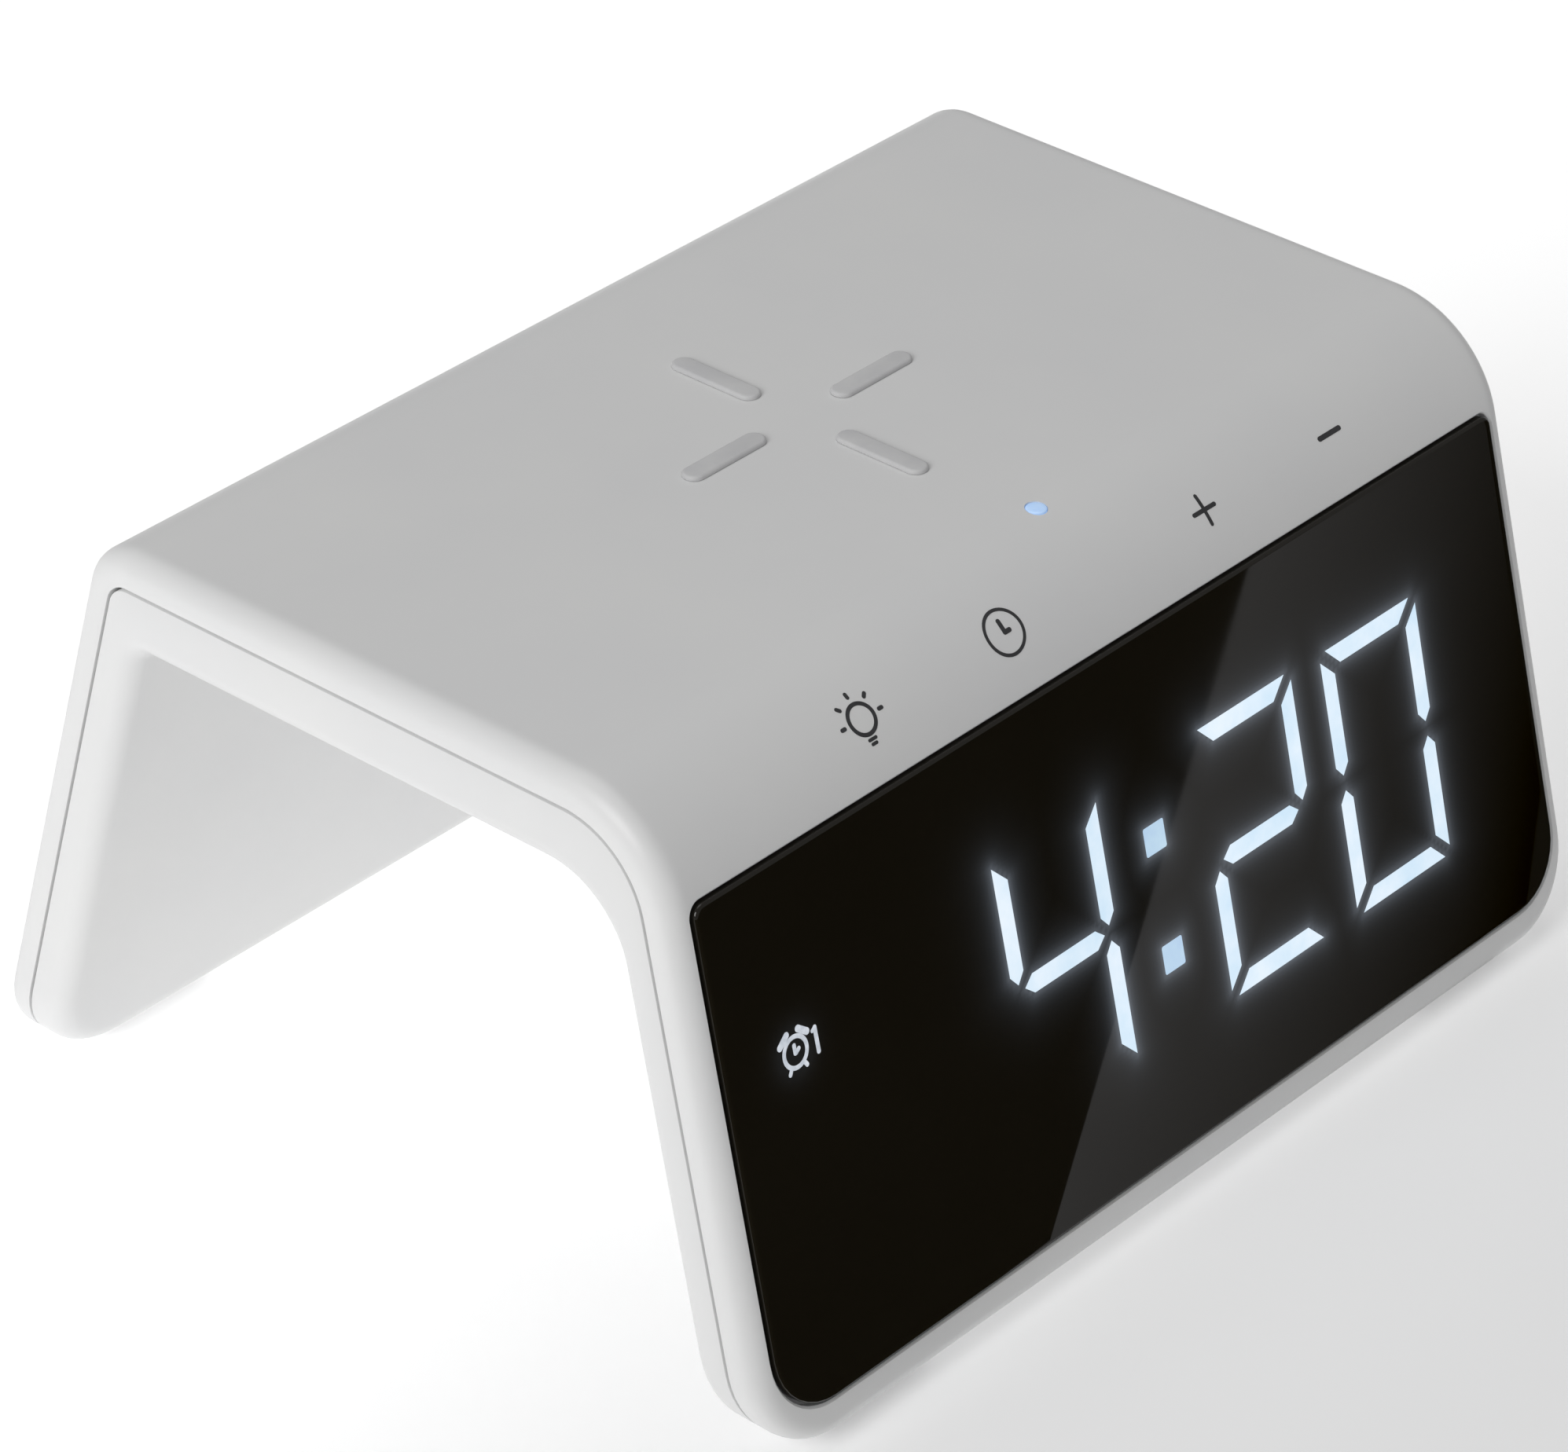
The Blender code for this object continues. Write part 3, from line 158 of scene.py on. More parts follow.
def build_handled_group() -> bpy.types.NodeTree:
    """Group that varies roughness in soft patches, as where a surface was handled.

    Returns:
        The group's tree.
    """
    graph, given, result = new_group(
        "handled", {"Low": 0.35, "High": 0.45, "Scale": 40.0},
        {"Roughness": "NodeSocketFloat"})
    place = graph.add("ShaderNodeTexCoord")
    broad = graph.add("ShaderNodeTexNoise", in_Detail=3.0, in_Roughness=0.55, in_Distortion=0.6)
    fine = graph.add("ShaderNodeTexNoise", in_Scale=900.0, in_Detail=2.0)
    blend = graph.add("ShaderNodeMath", operation="MULTIPLY_ADD")
    blend.inputs[1].default_value = 0.25
    spread = graph.add("ShaderNodeMapRange", in_From_Min=0.42, in_From_Max=0.8)
    graph.join(place.outputs["Object"], broad.inputs["Vector"])
    graph.join(place.outputs["Object"], fine.inputs["Vector"])
    graph.join(given.outputs["Scale"], broad.inputs["Scale"])
    graph.join(fine.outputs["Fac"], blend.inputs[0])
    graph.join(broad.outputs["Fac"], blend.inputs[2])
    graph.join(blend.outputs[0], spread.inputs["Value"])
    graph.join(given.outputs["Low"], spread.inputs["To Min"])
    graph.join(given.outputs["High"], spread.inputs["To Max"])
    graph.join(spread.outputs["Result"], result.inputs["Roughness"])
    return graph.tree


def build_grain_group() -> bpy.types.NodeTree:
    """Group that gives the height of a moulded grain: rounded pits over fine noise.

    Returns:
        The group's tree.
    """
    graph, given, result = new_group(
        "moulded_grain", {"Scale": 2200.0, "Pitting": 0.5}, {"Height": "NodeSocketFloat"})
    place = graph.add("ShaderNodeTexCoord")
    noise = graph.add("ShaderNodeTexNoise", in_Detail=1.0, in_Roughness=0.6)
    pits = graph.add("ShaderNodeTexVoronoi", feature="F1")
    mix = graph.add("ShaderNodeMix", data_type="FLOAT")
    graph.join(place.outputs["Object"], noise.inputs["Vector"])
    graph.join(place.outputs["Object"], pits.inputs["Vector"])
    graph.join(given.outputs["Scale"], noise.inputs["Scale"])
    graph.join(given.outputs["Scale"], pits.inputs["Scale"])
    graph.join(given.outputs["Pitting"], mix.inputs["Factor"])
    graph.join(noise.outputs["Fac"], mix.inputs["A"])
    graph.join(pits.outputs["Distance"], mix.inputs["B"])
    graph.join(mix.outputs["Result"], result.inputs["Height"])
    return graph.tree


def build_brushed_group() -> bpy.types.NodeTree:
    """Group that gives fine lines along one direction, as on rolled or brushed metal.

    Returns:
        The group's tree.
    """
    graph, given, result = new_group(
        "brushed", {"Scale": 1500.0}, {"Height": "NodeSocketFloat"})
    place = graph.add("ShaderNodeTexCoord")
    stretch = graph.add("ShaderNodeMapping")
    stretch.inputs["Scale"].default_value = (0.04, 1.0, 1.0)
    noise = graph.add("ShaderNodeTexNoise", in_Detail=3.0, in_Roughness=0.7)
    graph.join(place.outputs["Object"], stretch.inputs["Vector"])
    graph.join(stretch.outputs["Vector"], noise.inputs["Vector"])
    graph.join(given.outputs["Scale"], noise.inputs["Scale"])
    graph.join(noise.outputs["Fac"], result.inputs["Height"])
    return graph.tree


GROUPS = {
    "mottle": build_mottle_group(),
    "handled": build_handled_group(),
    "grain": build_grain_group(),
    "brushed": build_brushed_group(),
}


# ---------------------------------------------------------------------------
# Finishes
# ---------------------------------------------------------------------------

class Texture(Enum):
    """Which shared group gives a finish its height."""

    GRAIN = "grain"
    BRUSHED = "brushed"


@dataclass(frozen=True)
class Finish:
    """One finish: two near colours, a range of roughness and a fine relief."""

    name: str
    first: Colour
    second: Colour
    roughness: Pair = (0.38, 0.50)
    metallic: float = 0.0
    mottle_scale: float = 60.0
    handled_scale: float = 45.0
    texture: Texture = Texture.GRAIN
    texture_scale: float = 2200.0
    pitting: float = 0.5
    relief: float = 0.00001
    strength: float = 0.25
    coat: float = 0.0
    coat_roughness: float = 0.1
    sheen: float = 0.0
    index: float = 1.5

    def place_group(self, graph: Graph, group: str, **values: object) -> bpy.types.Node:
        """Place a shared group with this finish's values.

        Args:
            graph: the material's graph.
            group: key of the group.
            values: input values by name.

        Returns:
            The group node.
        """
        node = graph.add("ShaderNodeGroup", node_tree=GROUPS[group])
        for name, value in values.items():
            node.inputs[name].default_value = value
        return node

    def build(self) -> bpy.types.Material:
        """Make the material.

        Returns:
            The material, ready to be put in a slot.
        """
        made = bpy.data.materials.new(self.name)
        made.use_nodes = True
        graph = Graph(made.node_tree)
        shader = made.node_tree.nodes["Principled BSDF"]
        shader.inputs["Metallic"].default_value = self.metallic
        shader.inputs["Coat Weight"].default_value = self.coat
        shader.inputs["Coat Roughness"].default_value = self.coat_roughness
        shader.inputs["Sheen Weight"].default_value = self.sheen
        shader.inputs["IOR"].default_value = self.index
        colour = self.place_group(graph, "mottle", First=(*self.first, 1.0),
                                  Second=(*self.second, 1.0), Scale=self.mottle_scale)
        handled = self.place_group(graph, "handled", Low=self.roughness[0],
                                   High=self.roughness[1], Scale=self.handled_scale)
        if self.texture is Texture.GRAIN:
            height = self.place_group(graph, "grain", Scale=self.texture_scale,
                                      Pitting=self.pitting)
        else:
            height = self.place_group(graph, "brushed", Scale=self.texture_scale)
        bump = graph.add("ShaderNodeBump", in_Strength=self.strength, in_Distance=self.relief)
        graph.join(colour.outputs["Color"], shader.inputs["Base Color"])
        graph.join(handled.outputs["Roughness"], shader.inputs["Roughness"])
        graph.join(height.outputs["Height"], bump.inputs["Height"])
        graph.join(bump.outputs["Normal"], shader.inputs["Normal"])
        self.light_up(graph, shader)
        return made

    def light_up(self, graph: Graph, shader: bpy.types.Node) -> None:
        """Add light to the finish; a plain finish has none."""


@dataclass(frozen=True)
class WindowFinish(Finish):
    """Black display window: its painted glow attribute lights it softly round the digits,
    emission that stands in for their light spilling into the glass.
    """

    # Colour of the painted glow round the digits.
    painted_glow: Colour = (0.70, 0.80, 0.95)

    def light_up(self, graph: Graph, shader: bpy.types.Node) -> None:
        """Feed the painted glow attribute, times the painted glow colour, to the emission.

        Args:
            graph: the material's graph.
            shader: its main shader.
        """
        # Painted glow: emission round the digits, read from the window's point attribute.
        painted_glow = graph.add("ShaderNodeAttribute", attribute_name="painted_glow")
        mix = graph.add("ShaderNodeMix", data_type="RGBA")
        mix.inputs[6].default_value = (0.0, 0.0, 0.0, 1.0)
        mix.inputs[7].default_value = (*self.painted_glow, 1.0)
        graph.join(painted_glow.outputs["Fac"], mix.inputs["Factor"])
        graph.join(mix.outputs[2], shader.inputs["Emission Color"])
        shader.inputs["Emission Strength"].default_value = 1.0


@dataclass(frozen=True)
class LitFinish(Finish):
    """Lit segment: uneven light between a cool and a bright tone."""

    cool: Colour = (0.52, 0.72, 0.90)
    bright: Colour = (0.83, 0.92, 1.0)
    spot_scale: float = 160.0
    power: float = 1.0

    def light_up(self, graph: Graph, shader: bpy.types.Node) -> None:
        """Feed a mottle of the two tones to the emission.

        Args:
            graph: the material's graph.
            shader: its main shader.
        """
        tone = self.place_group(graph, "mottle", First=(*self.cool, 1.0),
                                Second=(*self.bright, 1.0), Scale=self.spot_scale)
        graph.join(tone.outputs["Color"], shader.inputs["Emission Color"])
        shader.inputs["Emission Strength"].default_value = self.power


WHITE = Finish("white_moulding", (0.80, 0.80, 0.795), (0.775, 0.777, 0.78), (0.36, 0.47),
               mottle_scale=35.0, texture_scale=2600.0, relief=0.000012, strength=0.16)
FINISHES = {
    "casing_white": WHITE,
    "door_white": Finish("door_moulding", (0.79, 0.79, 0.785), (0.77, 0.772, 0.775),
                         (0.36, 0.48), mottle_scale=40.0, texture_scale=2600.0,
                         relief=0.000012, strength=0.16),
    # Black window whose emission is painted glow round the digits.
    "display_glass": WindowFinish("black_window", (0.0100, 0.0080, 0.0046),
                                  (0.0118, 0.0096, 0.0058), (0.018, 0.040),
                                  mottle_scale=25.0, handled_scale=30.0,
                                  texture_scale=300.0, relief=0.000002, strength=0.03,
                                  index=1.48),
    "diffuser": Finish("smoked_diffuser", (0.028, 0.028, 0.03), (0.02, 0.02, 0.022),
                       (0.5, 0.65)),
    "module_white": Finish("pale_moulding", (0.72, 0.72, 0.70), (0.66, 0.66, 0.64),
                           (0.45, 0.58)),
    "circuit_board": Finish("solder_mask", (0.02, 0.16, 0.07), (0.03, 0.21, 0.09),
                            (0.30, 0.45), mottle_scale=700.0, texture_scale=1400.0,
                            relief=0.00003, strength=0.4, coat=0.4),
    "flex_film": Finish("amber_film", (0.62, 0.34, 0.07), (0.50, 0.25, 0.05), (0.22, 0.35),
                        texture_scale=900.0, coat=0.3),
    "tinned_metal": Finish("tinned_sheet", (0.70, 0.71, 0.72), (0.60, 0.61, 0.63),
                           (0.25, 0.42), metallic=1.0, texture=Texture.BRUSHED,
                           texture_scale=2500.0, relief=0.00001, strength=0.3),
    "copper": Finish("copper_winding", (0.78, 0.38, 0.22), (0.62, 0.27, 0.14), (0.25, 0.42),
                     metallic=1.0, texture=Texture.BRUSHED, texture_scale=2200.0,
                     relief=0.00003, strength=0.5),
    "ferrite": Finish("sintered_ferrite", (0.05, 0.05, 0.055), (0.075, 0.075, 0.08),
                      (0.55, 0.75), texture_scale=1600.0, relief=0.00003, strength=0.4),
    "steel": Finish("zinc_plating", (0.62, 0.62, 0.61), (0.52, 0.53, 0.55), (0.22, 0.40),
                    metallic=1.0, mottle_scale=400.0, texture=Texture.BRUSHED,
                    texture_scale=3000.0, relief=0.00001, strength=0.3),
    "cell_steel": Finish("nickel_can", (0.72, 0.71, 0.69), (0.62, 0.61, 0.60), (0.18, 0.32),
                         metallic=1.0, texture=Texture.BRUSHED, texture_scale=1800.0,
                         relief=0.000008, strength=0.3),
    "black_plastic": Finish("black_moulding", (0.018, 0.018, 0.018), (0.028, 0.028, 0.03),
                            (0.38, 0.52), relief=0.00002),
    "foot_rubber": Finish("grey_rubber", (0.40, 0.40, 0.40), (0.33, 0.33, 0.33), (0.70, 0.85),
                          mottle_scale=250.0, texture_scale=1500.0, relief=0.00003,
                          strength=0.4, sheen=0.1),
    "grip_silicone": Finish("pale_silicone", (0.66, 0.66, 0.66), (0.60, 0.60, 0.61),
                            (0.55, 0.68), mottle_scale=300.0, texture_scale=1800.0,
                            relief=0.00002, strength=0.3, sheen=0.1),
    "speaker_paper": Finish("doped_paper", (0.035, 0.035, 0.038), (0.06, 0.06, 0.065),
                            (0.60, 0.80), mottle_scale=900.0, texture_scale=1100.0,
                            relief=0.00005, strength=0.5),
    "gasket_foam": Finish("black_foam", (0.03, 0.03, 0.03), (0.06, 0.06, 0.06), (0.8, 0.95),
                          mottle_scale=1500.0, texture_scale=1700.0, pitting=0.9,
                          relief=0.00008, strength=0.7),
    "wire_red": Finish("red_insulation", (0.50, 0.02, 0.02), (0.40, 0.015, 0.015),
                       (0.35, 0.5)),
    "wire_black": Finish("black_insulation", (0.02, 0.02, 0.02), (0.035, 0.035, 0.035),
                         (0.35, 0.5)),
    "lens_clear": LitFinish("blue_light_pipe", (0.55, 0.70, 0.90), (0.45, 0.62, 0.88),
                            (0.15, 0.25), texture_scale=900.0, relief=0.000004,
                            cool=(0.25, 0.50, 0.95), bright=(0.45, 0.66, 1.0),
                            spot_scale=900.0, power=0.35),
}


def lit(name: str, cool: Colour, bright: Colour, spot_scale: float) -> LitFinish:
    """Smooth dark finish that is lit between two tones.

    Args:
        name: the finish's name.
        cool: its dimmer tone.
        bright: its brighter tone.
        spot_scale: scale of the drift between the two.

    Returns:
        The finish.
    """
    return LitFinish(name, (0.02, 0.02, 0.02), (0.03, 0.03, 0.03), (0.06, 0.09),
                     texture_scale=300.0, relief=0.000002, strength=0.03,
                     cool=cool, bright=bright, spot_scale=spot_scale)


LIT_DIGIT = lit("lit_digit", (0.60, 0.78, 0.93), (0.84, 0.92, 1.0), 130.0)
LIT_DOT = lit("lit_dot", (0.42, 0.58, 0.80), (0.52, 0.70, 0.84), 200.0)
LIT_ICON = lit("lit_icon", (0.42, 0.46, 0.52), (0.70, 0.74, 0.80), 900.0)
INK = Finish("sign_ink", (0.030, 0.030, 0.032), (0.045, 0.045, 0.048), (0.42, 0.55),
             mottle_scale=900.0, texture_scale=3000.0, relief=0.000006)
PAPER = Finish("studio_paper", (0.86, 0.86, 0.86), (0.84, 0.84, 0.845), (0.85, 0.95),
               mottle_scale=8.0, handled_scale=12.0, texture_scale=700.0,
               relief=0.00001, strength=0.05)


class Palette:
    """Materials of the scene, each made once."""

    def __init__(self) -> None:
        """Start with no material made."""
        self.made: dict[str, bpy.types.Material] = {}

    def get(self, finish: Finish) -> bpy.types.Material:
        """Give the material of a finish.

        Args:
            finish: the finish.

        Returns:
            Its material.
        """
        if finish.name not in self.made:
            self.made[finish.name] = finish.build()
        return self.made[finish.name]


PALETTE = Palette()


# ---------------------------------------------------------------------------
# Solids
# ---------------------------------------------------------------------------

@dataclass
class Solid:
    """Points in millimetres and the faces between them."""

    points: Array
    faces: list[tuple[int, ...]]

    def placed(self, place: Matrix) -> "Solid":
        """Carry the solid into a frame.

        Args:
            place: the frame, as a 4x4 matrix in millimetres.

        Returns:
            The moved solid.
        """
        matrix = np.array(place)
        return Solid(self.points @ matrix[:3, :3].T + matrix[:3, 3], self.faces)

    def mapped(self, function: Callable[[Array], Array]) -> "Solid":
        """Solid with its points sent through a function of arrays."""
        return Solid(function(self.points), self.faces)


def joined(solids: list[Solid]) -> Solid:
    """Put several solids in one list of points and faces.

    Args:
        solids: the solids.

    Returns:
        One solid with all of them.
    """
    counts = np.cumsum([0] + [len(solid.points) for solid in solids])
    faces = [tuple(index + start for index in face)
             for solid, start in zip(solids, counts) for face in solid.faces]
    return Solid(np.vstack([solid.points for solid in solids]), faces)


def ring_quads(first: int, second: int, count: int) -> list[tuple[int, ...]]:
    """Quads between two closed rings of equal count.

    Args:
        first: index of the first ring's first point.
        second: index of the second ring's first point.
        count: points in each ring.

    Returns:
        The faces.
    """
    one = np.arange(count)
    after = (one + 1) % count
    quads = np.stack([first + one, first + after, second + after, second + one], axis=1)
    return [tuple(row) for row in quads.tolist()]


def lofted(rings: Array, closed: bool = False) -> Solid:
    """Solid through equal rings of points.

    Each point of a ring joins the point of the same number on the next ring. The first and
    the last ring are capped with flat faces, unless the last ring joins the first.

    Args:
        rings: array of rings, points and coordinates.
        closed: whether the last ring joins the first.

    Returns:
        The solid.
    """
    layers, count, _ = rings.shape
    faces: list[tuple[int, ...]] = []
    for layer in range(layers - 1 + int(closed)):
        faces += ring_quads(layer * count, ((layer + 1) % layers) * count, count)
    if not closed:
        faces.append(tuple(range(count)))
        faces.append(tuple(range((layers - 1) * count, layers * count)))
    return Solid(rings.reshape(-1, 3), faces)


def rounded_box(half: Pair, radii: tuple[float, ...], grow: float = 0.0,
                steps: int = 10) -> Array:
    """Outline of a rectangle with a radius at each corner.

    A corner's points are its centre plus the radius times the cosine and sine of an angle
    that turns through a quarter circle.

    Args:
        half: half width and half height.
        radii: radii of the low left, low right, high right and high left corners.
        grow: distance by which the outline grows on every side.
        steps: steps in each corner.

    Returns:
        Points of the outline in order, anticlockwise.
    """
    least = 0.04
    radius = np.maximum(np.array(radii) + grow, least)
    signs = np.array([(-1.0, -1.0), (1.0, -1.0), (1.0, 1.0), (-1.0, 1.0)])
    size = np.array(half) + grow
    centres = signs * (size - radius[:, None])
    starts = np.radians([180.0, 270.0, 0.0, 90.0])
    angles = starts[:, None] + np.linspace(0.0, math.pi / 2.0, steps + 1)[None, :]
    arcs = np.stack([np.cos(angles), np.sin(angles)], axis=-1) * radius[:, None, None]
    return (centres[:, None, :] + arcs).reshape(-1, 2)


def slab(half: Pair, radii: tuple[float, ...], layers: list[Pair], draft: float = 0.0,
         steps: int = 10) -> Solid:
    """Solid through rounded rectangles that grow or shrink from level to level.

    With a draft angle the sides lean inwards: a point's X shrinks in proportion to its
    height above the low side.

    Args:
        half: half width and half height.
        radii: corner radii, as for rounded_box.
        layers: pairs of growth and level, in order.
        draft: lean of the sides.
        steps: steps in each corner.

    Returns:
        The solid, with levels along local Z.
    """
    rings = []
    for grow, level in layers:
        outline = rounded_box(half, radii, grow, steps)
        lean = 1.0 - (outline[:, 1] + half[1]) * math.tan(draft) / half[0]
        rings.append(np.column_stack([outline[:, 0] * lean, outline[:, 1],
                                      np.full(len(outline), level)]))
    return lofted(np.array(rings))


def box_slab(low: tuple[float, float, float], high: tuple[float, float, float]) -> Solid:
    """Plain box between two corners, used as a cutter.

    Args:
        low: its low corner.
        high: its high corner.

    Returns:
        The box.
    """
    middle = [(a + b) / 2.0 for a, b in zip(low, high)]
    half = ((high[0] - low[0]) / 2.0, (high[1] - low[1]) / 2.0)
    tall = (high[2] - low[2]) / 2.0
    solid = slab(half, (0.0,) * 4, [(0.0, -tall), (0.0, tall)], steps=1)
    return solid.placed(Matrix.Translation(middle))


def round_pin(radius: float, low: float, high: float, place: Matrix, steps: int = 32) -> Solid:
    """Cylinder on a frame's Z axis.

    Args:
        radius: its radius.
        low: lower level.
        high: upper level.
        place: the frame.
        steps: points round it.

    Returns:
        The solid.
    """
    turn = np.linspace(0.0, 2.0 * math.pi, steps, endpoint=False)
    circle = np.column_stack([np.cos(turn), np.sin(turn)]) * radius
    rings = np.array([np.column_stack([circle, np.full(steps, level)])
                      for level in (low, high)])
    return lofted(rings).placed(place)


def make_object(name: str, solid: Solid) -> bpy.types.Object:
    """Put a solid in the scene as a closed mesh in metres.

    Doubles are merged first and the faces then point outwards.

    Args:
        name: the object's name.
        solid: the solid in millimetres.

    Returns:
        The object.
    """
    mesh = bpy.data.meshes.new(name)
    mesh.from_pydata((solid.points * MM).tolist(), [], solid.faces)
    made = bpy.data.objects.new(name, mesh)
    bpy.context.scene.collection.objects.link(made)
    clean(made)
    return made


def clean(piece: bpy.types.Object) -> None:
    """Merge a mesh's doubles and turn its faces outwards.

    Args:
        piece: the object whose mesh is cleaned.
    """
    work = bmesh.new()
    work.from_mesh(piece.data)
    bmesh.ops.remove_doubles(work, verts=work.verts, dist=MERGE_DISTANCE)
    bmesh.ops.dissolve_degenerate(work, edges=work.edges, dist=MERGE_DISTANCE)
    bmesh.ops.recalc_face_normals(work, faces=work.faces)
    work.to_mesh(piece.data)
    work.free()


def combine(piece: bpy.types.Object, tool: Solid, operation: str) -> None:
    """Cut, trim or join a piece with a tool solid, and keep the result as its mesh.

    Args:
        piece: the piece.
        tool: the tool in millimetres.
        operation: DIFFERENCE, INTERSECT or UNION.
    """
    helper = make_object(piece.name + "_tool", tool)
    step = piece.modifiers.new("shape", "BOOLEAN")
    step.operation = operation
    step.object = helper
    step.solver = "EXACT"
    bpy.context.view_layer.update()
    graph = bpy.context.evaluated_depsgraph_get()
    shaped = bpy.data.meshes.new_from_object(piece.evaluated_get(graph))
    piece.modifiers.clear()
    spent = (piece.data, helper.data)
    piece.data = shaped
    bpy.data.objects.remove(helper)
    for mesh in spent:
        bpy.data.meshes.remove(mesh)
    clean(piece)


def dress(piece: bpy.types.Object, finish: Finish, body: str, slot: str,
          *nodes: str) -> bpy.types.Object:
    """Finish a piece, seat it on its body and hide the nodes that it stands for.

    Args:
        piece: the piece.
        finish: its finish.
        body: the body it rides on.
        slot: the record's slot for its finish; not used.
        nodes: the frame's nodes that it replaces.

    Returns:
        The piece.
    """
    crease = math.radians(32.0)
    piece.data.materials.clear()
    piece.data.materials.append(PALETTE.get(finish))
    piece.data.shade_smooth()
    piece.data.set_sharp_from_angle(angle=crease)
    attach(piece, body)
    if nodes:
        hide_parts(*nodes)
    LOG.info("%s: %d faces on %s", piece.name, len(piece.data.polygons), body)
    return piece


# ---------------------------------------------------------------------------
# Casing
# ---------------------------------------------------------------------------

@dataclass(frozen=True)
class NodeBox:
    """Box of one of the frame's nodes, in millimetres."""

    low: Vector
    high: Vector

    @classmethod
    def of(cls, node: str) -> "NodeBox":
        """Read a node's box from the frame."""
        return cls(*(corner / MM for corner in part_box(node)))

    @property
    def half(self) -> Pair:
        """Half width along X and half depth along Y."""
        return (self.high.x - self.low.x) / 2.0, (self.high.y - self.low.y) / 2.0

    @property
    def spot(self) -> Matrix:
        """Frame at the box's middle in X and Y, at level zero."""
        middle = (self.low + self.high) / 2.0
        return Matrix.Translation((middle.x, middle.y, 0.0))


@dataclass(frozen=True)
class Leg:
    """Outer plane of a leaning leg in the side view."""

    foot_y: float
    foot_z: float
    tilt: float
    side: float

    def y_at(self, depth: float, z: float) -> float:
        """Y of the leg's plane, moved inwards by a depth, at a height."""
        lean = (z - self.foot_z) * math.tan(self.tilt)
        return self.foot_y - self.side * (depth / math.cos(self.tilt) + lean)

    def frame(self, across: float, z: float) -> Matrix:
        """Frame on the leg: local Y climbs it and local Z points out of it.

        Args:
            across: direction of local X along world X.
            z: height of its origin.

        Returns:
            The frame in millimetres.
        """
        out = Vector((0.0, self.side * math.cos(self.tilt), math.sin(self.tilt)))
        right = Vector((across, 0.0, 0.0))
        turn = Matrix((right, out.cross(right), out)).transposed().to_4x4()
        return Matrix.Translation((0.0, self.y_at(0.0, z), z)) @ turn


@dataclass(frozen=True)
class Path:
    """Rows of one side view path: points, ways into the wall, and the corner rows' widths."""

    points: Array
    inward: Array
    corner_cosine: Array


def nodes_named(start: str) -> list[str]:
    """Names of the frame's nodes that start with a word, in order."""
    return sorted(name for name in frame["nodes"] if name.startswith(start))


